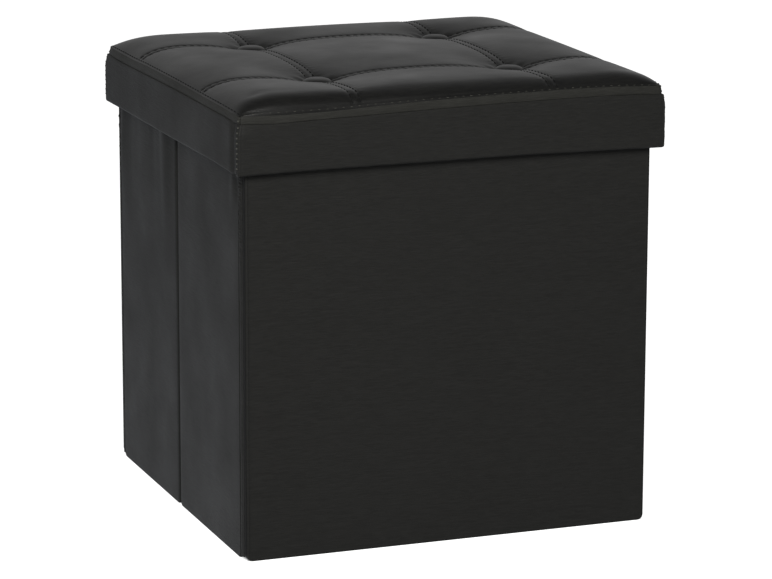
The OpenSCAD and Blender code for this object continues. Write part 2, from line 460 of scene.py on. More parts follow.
def ranged(tree: Tree, value: Socket, source: Sequence[float], target: Sequence[float]) -> Socket:
    """A value mapped from one range to another and held within it.

    Args:
        tree: The tree to add to.
        value: The value to map.
        source: The two ends of its own range.
        target: What the ends turn into, as numbers or sockets.

    Returns:
        The mapped value.
    """
    inputs = {
        "Value": value,
        "From Min": source[0],
        "From Max": source[1],
        "To Min": target[0],
        "To Max": target[1],
    }
    return add_node(tree, "ShaderNodeMapRange", inputs).outputs["Result"]


def raised(tree: Tree, height: Socket, depth: float, under: Socket | None = None) -> Socket:
    """A bump normal, over another one if given.

    Args:
        tree: The tree to add to.
        height: The relief, from 0 to 1.
        depth: The depth of the relief, in millimetres.
        under: The normal of a coarser relief under this one.

    Returns:
        The normal.
    """
    inputs = {"Height": height, "Distance": depth * MM, "Strength": 1.0}
    if under is not None:
        inputs["Normal"] = under
    return add_node(tree, "ShaderNodeBump", inputs).outputs["Normal"]


@dataclass(frozen=True)
class Finish:
    """A named material with a Principled shader."""

    name: str

    def make(self) -> Material:
        """Makes the material.

        Returns:
            The material.
        """
        material, tree = new_material(self.name)
        shader = add_node(tree, "ShaderNodeBsdfPrincipled", self.surface(tree))
        add_node(tree, "ShaderNodeOutputMaterial", {"Surface": shader.outputs["BSDF"]})
        return material

    def surface(self, tree: Tree) -> dict:
        """Adds the nodes of one kind of finish, and returns the shader's inputs."""
        raise NotImplementedError


@dataclass(frozen=True)
class FauxLeather(Finish):
    """PVC-coated cloth, calendered and embossed: a black skin whose fine grain runs sideways.

    The embossing catches light as short level wrinkles on upright faces. On level faces it
    shows as soft cloudy relief.
    """

    dark: str = "#191918"
    light: str = "#20201f"
    roughness: float = 0.6
    specular: float = 0.075
    grain_length: float = 11.0
    grain_height: float = 1.3
    grain_depth: float = 0.16
    pore: float = 0.9
    pore_depth: float = 0.03
    cloud: float = 60.0
    uneven: float = 0.05

    def surface(self, tree: Tree) -> dict:
        """Adds its nodes.

        Args:
            tree: The tree to add to.

        Returns:
            The shader's inputs by name.
        """
        grain = add_node(
            tree,
            "ShaderNodeTexNoise",
            pattern(tree, (self.grain_length, self.grain_length, self.grain_height))
            | {"Detail": 3.0, "Roughness": 0.6, "Distortion": 0.9},
        ).outputs["Fac"]
        pores = add_node(
            tree,
            "ShaderNodeTexVoronoi",
            pattern(tree, (self.pore,) * 3) | {"Randomness": 1.0},
        ).outputs["Distance"]
        clouds = add_node(
            tree,
            "ShaderNodeTexNoise",
            pattern(tree, (self.cloud,) * 3) | {"Detail": 3.0},
        ).outputs["Fac"]
        crest = ranged(tree, grain, (0.35, 0.75), (0.0, 1.0))
        normal = raised(tree, pores, self.pore_depth, raised(tree, crest, self.grain_depth))
        spread = (self.roughness - self.uneven, self.roughness + self.uneven)
        return {
            "Base Color": two_tone(tree, crest, self.dark, self.light),
            "Roughness": ranged(tree, clouds, (0.3, 0.7), spread),
            "Specular IOR Level": self.specular,
            "Normal": normal,
        }


@dataclass(frozen=True)
class NonWoven(Finish):
    """Spunbond polypropylene: matted fibres, pressed flat at a grid of small bond points."""

    dark: str = "#101011"
    light: str = "#1d1d1f"
    bond: float = 1.8
    bond_depth: float = 0.12
    fibre: float = 0.5
    fibre_depth: float = 0.05

    def surface(self, tree: Tree) -> dict:
        """Adds its nodes.

        Args:
            tree: The tree to add to.

        Returns:
            The shader's inputs by name.
        """
        bonds = add_node(
            tree,
            "ShaderNodeTexVoronoi",
            pattern(tree, (self.bond,) * 3) | {"Randomness": 0.15},
        ).outputs["Distance"]
        fibres = add_node(
            tree,
            "ShaderNodeTexNoise",
            pattern(tree, (self.fibre * 4, self.fibre * 4, self.fibre)),
        ).outputs["Fac"]
        pressed = ranged(tree, bonds, (0.15, 0.35), (0.0, 1.0))
        return {
            "Base Color": two_tone(tree, pressed, self.dark, self.light),
            "Roughness": 0.85,
            "Specular IOR Level": 0.3,
            "Sheen Weight": 0.15,
            "Normal": raised(tree, fibres, self.fibre_depth, raised(tree, pressed, self.bond_depth)),
        }


@dataclass(frozen=True)
class Speckled(Finish):
    """A material with fine specks and relief: pressed board, foam, thread or plated steel."""

    dark: str
    light: str
    speck: tuple[float, float, float]
    relief: float
    roughness: float
    metallic: float = 0.0
    specular: float = 0.5

    def surface(self, tree: Tree) -> dict:
        """Adds its nodes.

        Args:
            tree: The tree to add to.

        Returns:
            The shader's inputs by name.
        """
        specks = add_node(
            tree,
            "ShaderNodeTexNoise",
            pattern(tree, self.speck) | {"Detail": 4.0, "Roughness": 0.65},
        ).outputs["Fac"]
        share = ranged(tree, specks, (0.35, 0.65), (0.0, 1.0))
        return {
            "Base Color": two_tone(tree, share, self.dark, self.light),
            "Roughness": self.roughness,
            "Metallic": self.metallic,
            "Specular IOR Level": self.specular,
            "Normal": raised(tree, share, self.relief),
        }


# The scale at which a Wave texture repeats about once in each unit of its pattern.
ONE_WAVE = 1 / math.pi


@dataclass(frozen=True)
class ScreenBackedBoard(Finish):
    """Wet-pressed hardboard: dark brown fibres, with the mesh of the press screen in its underside."""

    dark: str = "#3f2a1b"
    light: str = "#5f432c"
    screen: float = 2.4
    relief: float = 0.25
    fibre: tuple[float, float, float] = (3.0, 0.8, 0.8)

    def surface(self, tree: Tree) -> dict:
        """Adds its nodes.

        Args:
            tree: The tree to add to.

        Returns:
            The shader's inputs by name.
        """
        screen = pattern(tree, (self.screen,) * 3)
        weave = [
            add_node(
                tree,
                "ShaderNodeTexWave",
                screen | {"Scale": ONE_WAVE, "Distortion": 0.4, "Detail": 1.0},
                bands_direction=direction,
            ).outputs["Fac"]
            for direction in ("X", "Y")
        ]
        mesh = add_node(tree, "ShaderNodeMath", {0: weave[0], 1: weave[1]}, operation="MAXIMUM").outputs[0]
        fibres = add_node(
            tree,
            "ShaderNodeTexNoise",
            pattern(tree, self.fibre) | {"Detail": 4.0},
        ).outputs["Fac"]
        return {
            "Base Color": two_tone(tree, fibres, self.dark, self.light),
            "Roughness": 0.75,
            "Normal": raised(tree, mesh, self.relief),
        }


@dataclass(frozen=True)
class RibbedRibbon(Finish):
    """Grosgrain polyester: a flat ribbon with close ribs across its length."""

    dark: str = "#0e0e0f"
    light: str = "#242426"
    rib: float = 1.0
    rib_depth: float = 0.15
    ribs_in_unit: float = 6.4

    def surface(self, tree: Tree) -> dict:
        """Adds its nodes.

        Args:
            tree: The tree to add to.

        Returns:
            The shader's inputs by name.
        """
        ribs = add_node(
            tree,
            "ShaderNodeTexWave",
            pattern(tree, (self.rib * self.ribs_in_unit,) * 3) | {"Scale": 2.0},
            bands_direction="Y",
        ).outputs["Fac"]
        return {
            "Base Color": two_tone(tree, ribs, self.dark, self.light),
            "Roughness": 0.6,
            "Normal": raised(tree, ribs, self.rib_depth),
        }


def made(finish: Finish) -> Material:
    """A dataclass field that holds the material of a finish."""
    return field(default_factory=finish.make)


@dataclass(frozen=True)
class Finishes:
    """Every finish of the ottoman, made once."""

    wall: Material = made(FauxLeather("embossed_pvc_leather"))
    # The same leather rolled over the rim, painted a little paler than the walls to stand in for the light
    # its upturned face catches: painted light.
    band: Material = made(FauxLeather("paler_painted_light_pvc_leather", dark="#1f1f1d", light="#282826"))
    # Soft, thinly embossed skin: deeper black and glossier than the walls.
    cushion: Material = made(
        FauxLeather(
            "soft_pvc_leather",
            dark="#0b0b0b",
            light="#131312",
            grain_depth=0.04,
            pore_depth=0.015,
            roughness=0.4,
            specular=0.17,
        )
    )
    # The same skin stretched over a shell, which pulls its grain flat.
    button: Material = made(
        FauxLeather(
            "stretched_pvc_leather",
            dark="#0b0b0b",
            light="#131312",
            grain_depth=0.02,
            pore_depth=0.015,
            roughness=0.42,
            specular=0.3,
        )
    )
    lining: Material = made(NonWoven("spunbond_polypropylene"))
    # Bonded polyester thread: matt black, dark where the skin round it shines.
    thread: Material = made(
        Speckled("bonded_polyester_thread", "#060606", "#121212", (0.8, 0.8, 0.8), 0.05, 0.85, specular=0.15)
    )
    # The black thread again, painted a paler grey so that it shows as glints on the corner seams and the
    # cushion's front edge: painted highlight.
    painted_glint_thread: Material = made(
        Speckled("black_thread_painted_glint", "#2b2b28", "#44443c", (0.8, 0.8, 0.8), 0.03, 0.5, specular=0.2)
    )
    ribbon: Material = made(RibbedRibbon("grosgrain_polyester"))
    # Medium-density fibreboard: fine tan fibres pressed flat.
    fibreboard: Material = made(
        Speckled("medium_density_fibreboard", "#8a6a48", "#a98a63", (2.2, 2.2, 0.9), 0.05, 0.8, specular=0.3)
    )
    hardboard: Material = made(ScreenBackedBoard("wet_pressed_hardboard"))
    # Flexible polyurethane foam: cream open cells about a millimetre across.
    foam: Material = made(
        Speckled(
            "flexible_polyurethane_foam", "#cbbf95", "#efe6c6", (1.2, 1.2, 1.2), 0.4, 0.95, specular=0.1
        )
    )
    # Waxed nylon twine: twisted off-white plies.
    twine: Material = made(
        Speckled("waxed_nylon_twine", "#b7ae99", "#e1dac8", (0.8, 0.8, 1.6), 0.15, 0.7, specular=0.3)
    )
    # Zinc-plated steel: cool bright metal with faint spangles.
    zinc: Material = made(
        Speckled("zinc_plated_steel", "#a9acb0", "#c6c9cc", (2.5, 2.5, 2.5), 0.01, 0.32, metallic=1.0)
    )
    # Galvanised staple wire: dull drawn metal.
    wire: Material = made(
        Speckled("galvanised_staple_wire", "#8e9194", "#b4b7ba", (3.0, 3.0, 0.3), 0.01, 0.4, metallic=1.0)
    )


def paint(piece: Piece, material: Material) -> None:
    """Gives a piece one material all over."""
    piece.data.materials.clear()
    piece.data.materials.append(material)


def finish_piece(piece: Piece, material: Material, slot: str, body: str | None, *nodes: str) -> None:
    """Paints a piece, hangs it on its body if it has one, and hides the CAD nodes it stands for.

    Args:
        piece: The finished piece.
        material: Its finish.
        slot: The record's material slot. It is not used.
        body: The CAD body it rides on, or None where it stays where it is built.
        nodes: CAD nodes that it replaces.
    """
    paint(piece, material)
    if body:
        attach(piece, body)
    if nodes:
        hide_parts(*nodes)
    log.info("%s: %d faces on %s", piece.name, len(piece.data.polygons), body or "a joint")


# ---- sewing


@dataclass(frozen=True)
class Seam:
    """A line of machine stitches (mm).

    A stitch is as wide as its thread, or as across says. A share of it is sunk in the surface.
    """

    pitch: float
    length: float
    thread: float = 0.9
    sunk: float = 0.25
    across: float = 0.0
    tangent_reach: float = 0.6

    def template(self) -> Piece:
        """One stitch round the origin, along X with its top towards Z."""
        add = bpy.ops.mesh.primitive_uv_sphere_add
        stitch = start_from(add, "stitch", segments=8, ring_count=6, radius=0.5 * MM)
        shape = points(stitch)[:, [2, 0, 1]] * (self.length, self.across or self.thread, self.thread)
        set_points(stitch, shape)
        return stitch

    def places(self, path: Array, normals: Array) -> list[Matrix]:
        """Where its stitches lie along a path on a surface.

        Args:
            path: Points of the path, in millimetres.
            normals: The surface's normal at each point.

        Returns:
            One matrix for each stitch, in metres.
        """
        steps = np.linalg.norm(np.diff(path, axis=0), axis=1)
        run = np.concatenate([[0], np.cumsum(steps)])
        stops = np.arange(self.pitch / 2, run[-1] - self.length / 2, self.pitch)

        def along_path(rows: Array, ahead: float = 0.0) -> Array:
            """The rows' values at each stitch, or a distance ahead of it."""
            return np.stack([np.interp(stops + ahead, run, rows[:, axis]) for axis in range(3)], axis=1)

        middle, up = along_path(path), along_path(normals)
        behind, ahead = (along_path(path, sign * self.tangent_reach) for sign in (-1, 1))
        found = []
        for place, before, after, normal in zip(middle, behind, ahead, up):
            along = Vector(after - before).normalized()
            side = Vector(normal).cross(along).normalized()
            top = along.cross(side)
            turn = Matrix((along, side, top)).transposed().to_4x4()
            lift = (0.5 - self.sunk) * self.thread
            found.append(Matrix.Translation(Vector(place * MM) + top * lift * MM) @ turn)
        return found


# ---- studio


@dataclass(frozen=True)
class Lamp:
    """A soft rectangular lamp (metres and watts)."""

    name: str
    place: tuple[float, float, float]
    size: tuple[float, float]
    power: float
    colour: tuple[float, float, float]

    def build(self, aim: Vector) -> None:
        """Hangs the lamp.

        Args:
            aim: The point it faces, in metres.
        """
        data = bpy.data.lights.new(self.name, "AREA")
        data.shape = "RECTANGLE"
        data.size, data.size_y = self.size
        data.energy = self.power
        data.color = self.colour
        lamp = bpy.data.objects.new(self.name, data)
        bpy.context.scene.collection.objects.link(lamp)
        lamp.location = self.place
        lamp.rotation_euler = (aim - Vector(self.place)).to_track_quat("-Z", "Y").to_euler()


@dataclass
class Studio:
    """Pale floor, soft lamps, a dim room and the camera."""

    floor_size: float = 60.0
    floor_glow: float = 0.74
    far_glow: float = 0.47
    cool_glow: str = "#eef4ff"
    glow_reach: tuple[float, float] = (0.4, 2.0)
    floor_white: float = 0.86
    floor_paper: str = "#c8c8c8"
    floor_bounce: str = "#a8a8a8"
    well: tuple[float, float] = (0.18, 0.178)
    well_edge: float = 0.004
    backdrop: float = 0.57
    room: float = 0.14
    zenith: float = 0.17
    front_to_back: tuple[float, float] = (-0.5, 0.3)
    walls_to_zenith: tuple[float, float] = (0.35, 0.95)
    lens: float = 170.57
    camera_place: tuple[float, float, float] = (-1.0956, -2.9403, 0.9111)
    camera_heading: float = 20.605
    camera_drop: float = 13.134
    camera_roll: float = 0.162
    lamps: tuple[Lamp, ...] = (
        Lamp("key_lamp", (-0.8, -2.0, 1.7), (1.4, 1.0), 90.0, (1.0, 0.99, 0.96)),
        Lamp("side_lamp", (-2.0, 0.0, 1.0), (1.2, 1.2), 3.0, (0.88, 0.94, 1.0)),
    )

    def build(self) -> None:
        """Builds the stage."""
        self._floor()
        self._world()
        middle = (CAD_BOX[0] + CAD_BOX[1]) / 2
        for lamp in self.lamps:
            lamp.build(middle)
        self._camera()
        bpy.context.scene.view_settings.view_transform = "Standard"

    def _floor(self) -> None:
        """A wide sheet of matt paper, white to the eye and grey to the light that it bounces."""
        floor = start_from(bpy.ops.mesh.primitive_plane_add, "studio_floor", size=self.floor_size)
        material, tree = new_material("matt_studio_paper")
        rays = add_node(tree, "ShaderNodeLightPath").outputs

        def either(*kinds: Socket) -> Socket:
            """The larger of two factors."""
            return add_node(tree, "ShaderNodeMath", dict(enumerate(kinds)), operation="MAXIMUM").outputs[0]

        shown = either(rays["Is Glossy Ray"], rays["Is Transmission Ray"])
        seen = either(rays["Is Camera Ray"], shown)
        place = add_node(tree, "ShaderNodeTexCoord").outputs["Object"]
        away = add_node(tree, "ShaderNodeVectorMath", {0: place}, operation="LENGTH").outputs["Value"]
        axes = add_node(tree, "ShaderNodeSeparateXYZ", {"Vector": place}).outputs
        offsets = (
            add_node(tree, "ShaderNodeMath", {0: axes[axis]}, operation="ABSOLUTE").outputs[0]
            for axis in "XY"
        )
        # The floor inside the walls has only the light that falls in through the open top.
        outside = either(
            *(
                ranged(tree, offset, (reach - self.well_edge, reach), (0.0, 1.0))
                for offset, reach in zip(offsets, self.well)
            )
        )
        glow = ranged(tree, away, self.glow_reach, (self.floor_glow, self.far_glow))
        white = ranged(tree, outside, (0.0, 1.0), (0.0, self.floor_white))
        strength = either(
            ranged(tree, shown, (0.0, 1.0), (0.0, glow)),
            ranged(tree, rays["Is Camera Ray"], (0.0, 1.0), (0.0, white)),
        )
        grey = two_tone(tree, seen, self.floor_bounce, self.floor_paper)
        paper = add_node(tree, "ShaderNodeBsdfDiffuse", {"Color": grey})
        tint = two_tone(tree, rays["Is Camera Ray"], self.cool_glow, "#ffffff")
        shine = add_node(tree, "ShaderNodeEmission", {"Color": tint, "Strength": strength})
        both = add_node(tree, "ShaderNodeAddShader", {0: paper.outputs[0], 1: shine.outputs[0]})
        add_node(tree, "ShaderNodeOutputMaterial", {"Surface": both.outputs[0]})
        paint(floor, material)

    def _world(self) -> None:
        """A pale backdrop behind the ottoman, in a room that is dim in front and overhead."""
        world = bpy.data.worlds.new("studio_room")
        bpy.context.scene.world = world
        world.use_nodes = True
        tree = world.node_tree
        tree.nodes.clear()
        direction = add_node(tree, "ShaderNodeTexCoord").outputs["Generated"]
        axes = add_node(tree, "ShaderNodeSeparateXYZ", {"Vector": direction}).outputs
        walls = ranged(tree, axes["Y"], self.front_to_back, (self.room, self.backdrop))
        strength = ranged(tree, axes["Z"], self.walls_to_zenith, (walls, self.zenith))
        background = add_node(tree, "ShaderNodeBackground", {"Strength": strength})
        background.inputs["Color"].default_value = (1.0, 1.0, 1.0, 1.0)
        add_node(tree, "ShaderNodeOutputWorld", {"Surface": background.outputs["Background"]})

    def _camera(self) -> None:
        """The camera: a long lens, high on the front left."""
        data = bpy.data.cameras.new("studio_camera")
        data.lens = self.lens
        data.clip_end = 2 * self.floor_size
        camera = bpy.data.objects.new("studio_camera", data)
        bpy.context.scene.collection.objects.link(camera)
        heading, drop = math.radians(self.camera_heading), math.radians(self.camera_drop)
        forward = Vector(
            (math.sin(heading) * math.cos(drop), math.cos(heading) * math.cos(drop), -math.sin(drop))
        )
        roll = Quaternion((0, 0, 1), math.radians(self.camera_roll))
        camera.location = self.camera_place
        camera.rotation_euler = (forward.to_track_quat("-Z", "Y") @ roll).to_euler()
        bpy.context.scene.camera = camera


# ---- boards


@dataclass(frozen=True)
class Board:
    """A fibreboard panel, sanded round at its edges and corners (mm)."""

    node: str
    body: str
    thin: int
    corner_r: float = 3.5
    edge_r: float = 1.5
    holes: tuple[tuple[float, float], ...] = ()
    trim: tuple[float, float] = (0.0, 0.0)
    hole_r: float = 1.2
    recess_r: float = 8.0
    recess: float = 12.0

    def build(self, finishes: Finishes) -> None:
        """Builds the board in the place of its CAD node, with its ends along x and y trimmed.

        Args:
            finishes: The finishes to dress it in.
        """
        low, high = box_mm(self.node)
        low, high = low + (*self.trim, 0), high - (*self.trim, 0)
        board = solid_block(f"{self.node}_panel", high - low, (low + high) / 2)
        round_edges(board, lambda middle, way: abs(way[self.thin]) > UPRIGHT, self.corner_r, 4)
        round_edges(board, lambda middle, way: abs(way[self.thin]) < LEVEL, self.edge_r, 2)
        for place in self.holes:
            self._bore(board, place, low, high)
        smooth(board)
        finish_piece(board, finishes.fibreboard, "fibreboard", self.body, self.node)

    def _bore(self, board: Piece, place: tuple[float, float], low: Array, high: Array) -> None:
        """Bores a twine hole, with a recess for its washer and knot from below.

        Args:
            board: The board to bore.
            place: The hole's place along x and y.
            low: The board's lowest corner.
            high: The board's highest corner.
        """
        deep = float(high[2] - low[2])
        for radius, length in ((self.hole_r, 3 * deep), (self.recess_r, self.recess)):
            drill = start_from(
                bpy.ops.mesh.primitive_cylinder_add,
                "drill",
                vertices=24,
                radius=radius * MM,
                depth=length * MM,
                location=mm(*place, low[2]),
            )
            apply_modifier(board, "BOOLEAN", operation="DIFFERENCE", object=drill)
            bpy.data.objects.remove(drill)


# ---- walls


class Side(Enum):
    """Which way a wall faces, as its turn in degrees from the front."""

    FRONT = 0.0
    LEFT = -90.0
    BACK = 180.0
    RIGHT = 90.0


@dataclass(frozen=True)
class Crease:
    """A soft ridge or hollow in a wall's cover (mm).

    u runs along the wall and v up it. The ridge runs from its top down, leaning sideways.
    """

    u: float
    top: float
    length: float
    width: float
    height: float
    lean: float = 0.0

    def relief(self, u: Array, v: Array) -> Array:
        """How far it lifts the cover.

        Args:
            u: Places along the wall.
            v: Places up the wall.

        Returns:
            The lift at each place, in millimetres.
        """
        down = (self.top - v) / self.length
        fade = ease(down, -0.12, 0.06) * (1 - ease(down, 0.15, 1.0))
        return self.height * fade * bump(u - self.u - self.lean * down, self.width)


@dataclass
class WallPanel:
    """One wall panel: faux leather wrapped round a board, with a lining inside (mm)."""

    name: str
    side: Side
    creases: tuple[Crease, ...] = ()
    edge_seams: bool = False
    rolled: tuple[float, float] = (0.0, 0.0)
    seed: int = 1
    corner_r: float = 5.0
    edge_r: float = 1.5
    wrap: float = 0.2
    near: tuple[float, ...] = (1.0, 1.6, 2.2, 2.8, 3.4, 4.2, 5.0, 6.5)
    spacing: float = 4.2
    skirt_edge: float = 330.0
    roll_reach: float = 4.5
    waves: tuple[tuple[float, float], ...] = ((0.12, 83.0), (0.1, 61.0))
    swell: float = 0.15
    ridge: float = 0.3
    ridge_at: float = 1.9
    ridge_w: float = 0.9
    lining_t: float = 0.35
    stitch_inset: float = 1.7

    def __post_init__(self) -> None:
        """Reads the panel's size and place from its cover and lining."""
        low, high = box_mm(f"{self.name}_cover")
        self.across, self.through = (1, 0) if self.side in (Side.LEFT, Side.RIGHT) else (0, 1)
        self.length = float((high - low)[self.across])
        self.depth = float((high - low)[self.through])
        self.height = float(high[2] - low[2])
        self.lining_low, self.lining_high = box_mm(f"{self.name}_lining")
        centre = (low + high) / 2
        face = low if self.side in (Side.FRONT, Side.LEFT) else high
        centre[self.through] = face[self.through]
        self.origin = (float(centre[0]), float(centre[1]), float(low[2]))

    def build(self, finishes: Finishes) -> None:
        """Builds the cover, its lining and its edge stitches.

        Args:
            finishes: The finishes to dress the panel in.
        """
        cover = self._cover()
        self._place(cover)
        finish_piece(cover, finishes.wall, "vinyl", self.name, f"{self.name}_cover")
        Board(f"{self.name}_board", self.name, self.through, corner_r=4.5, edge_r=2.7).build(finishes)
        self._lining(finishes)
        if self.edge_seams:
            self._stitches(finishes)

    def _place(self, piece: Piece) -> None:
        """Turns a piece modelled at the front to its side and moves it there."""
        piece.rotation_euler = (0, 0, math.radians(self.side.value))
        piece.location = mm(*self.origin)
        settle(piece)

    def _cover(self) -> Piece:
        """Wraps the cover, facing -Y with its outer side on y = 0.

        Returns:
            The cover.
        """
        deep = self.depth + self.wrap
        cover = solid_block(
            f"{self.name}_wall_cover", (self.length, deep, self.height), (0, deep / 2, self.height / 2)
        )
        round_edges(cover, lambda middle, way: abs(way.y) > UPRIGHT, self.corner_r, 5)
        on_face = SAME_PLACE * MM
        round_edges(cover, lambda middle, way: middle.y < on_face and abs(way.y) < LEVEL, self.edge_r, 3)
        open_side(cover, lambda middle, normal: normal.y > UPRIGHT)
        cut_across(cover, 0, self._cuts(self.length, -self.length / 2))
        cut_across(cover, 2, self._cuts(self.height, 0))
        with editing(cover, Element.VERTEX):
            pick_rim()
            bpy.ops.mesh.edge_face_add()
        shape = points(cover)
        inwards = np.clip(1 - shape[:, 1] / (deep * 0.7), 0, 1)
        shape[:, 1] -= self.relief(shape[:, 0], shape[:, 2]) * inwards
        set_points(cover, shape)
        smooth(cover)
        return cover

    def _cuts(self, span: float, start: float) -> list[float]:
        """Where the cover is cut, close together near its edges.

        Args:
            span: The cover's size across the cuts.
            start: The place of its first edge.

        Returns:
            The place of each cut.
        """
        *near, last = self.near
        inner = np.linspace(last, span - last, round((span - 2 * last) / self.spacing) + 1)
        places = [*near, *inner, *(span - place for place in near)]
        return [start + place for place in sorted(places)]

    def relief(self, u: Array, v: Array) -> Array:
        """How far the cover stands out from flat: its waviness, creases, rolled ends and seam ridges.

        Args:
            u: Places along the wall, from its middle.
            v: Places up the wall.

        Returns:
            The relief at each place, in millimetres.
        """
        from_side = self.length / 2 - np.abs(u)
        from_end = np.minimum(v, self.height - v)
        inside = ease(np.minimum(from_side, from_end), 0.5, 9.0)
        (long, long_pitch), (short, short_pitch) = self.waves
        lift = long * ripple(u + 0.35 * v, long_pitch, self.seed)
        lift = (lift + short * ripple(v - 0.2 * u, short_pitch, self.seed + 7) + self.swell) * inside
        for crease in self.creases:
            lift = lift + crease.relief(u, v)
        top_share = ease(v, self.skirt_edge - 190, self.skirt_edge - 20)
        for sign, roll in zip((-1, 1), self.rolled):
            from_edge = self.length / 2 - sign * u
            near_edge = np.clip(1 - from_edge / self.roll_reach, 0, 1) ** 2
            lift = lift - roll * (0.35 + 0.65 * top_share) * near_edge
        if self.edge_seams:
            lift = lift + self.ridge * bump(from_side - self.ridge_at, self.ridge_w)
        return lift

    def _lining(self, finishes: Finishes) -> None:
        """Glues the sheet of lining to the board inside, with its edges pressed down.

        Args:
            finishes: The finishes to dress it in.
        """
        low, high = self.lining_low, self.lining_high
        across, through = self.across, self.through
        u = np.linspace(low[across], high[across], 40)
        v = np.linspace(low[2], high[2], 78)
        columns, rows = np.meshgrid(u, v)
        inward = -1.0 if self.origin[through] > 0 else 1.0
        face = high[through] if inward > 0 else low[through]
        edge = np.minimum(
            np.minimum(columns - low[across], high[across] - columns),
            np.minimum(rows - low[2], high[2] - rows),
        )
        wave = 0.2 * ripple(columns + 0.3 * rows, 47.0, self.seed + 3) * ease(edge, 2.0, 25.0)
        drop = (0.3 - 0.3 * ease(edge, 0.0, 3.0)) - wave
        places = np.empty((*columns.shape, 3))
        places[..., across] = columns
        places[..., through] = face - inward * drop
        places[..., 2] = rows
        lining = grid_piece(f"{self.name}_wall_lining", places)
        if lining.data.polygons[0].normal[through] * inward <= 0:
            turn_over(lining)
        thicken(lining, self.lining_t)
        smooth(lining)
        finish_piece(lining, finishes.lining, "lining", self.name, f"{self.name}_lining")

    def _stitches(self, finishes: Finishes) -> None:
        """Sews fine stitches along both upright edges.

        Args:
            finishes: The finishes to dress them in.
        """
        seam = Seam(pitch=2.3, length=1.7, thread=0.55, sunk=0.3)
        heights = np.linspace(self.corner_r, self.height - self.corner_r, 60)
        places = []
        for sign in (-1, 1):
            u = np.full_like(heights, sign * (self.length / 2 - self.stitch_inset))
            path = np.stack([u, -self.relief(u, heights), heights], axis=1)
            places += seam.places(path, np.tile((0.0, -1.0, 0.0), (len(path), 1)))
        stitches = repeat(f"{self.name}_edge_stitches", seam.template(), places)
        self._place(stitches)
        finish_piece(stitches, finishes.thread, "vinyl", self.name)


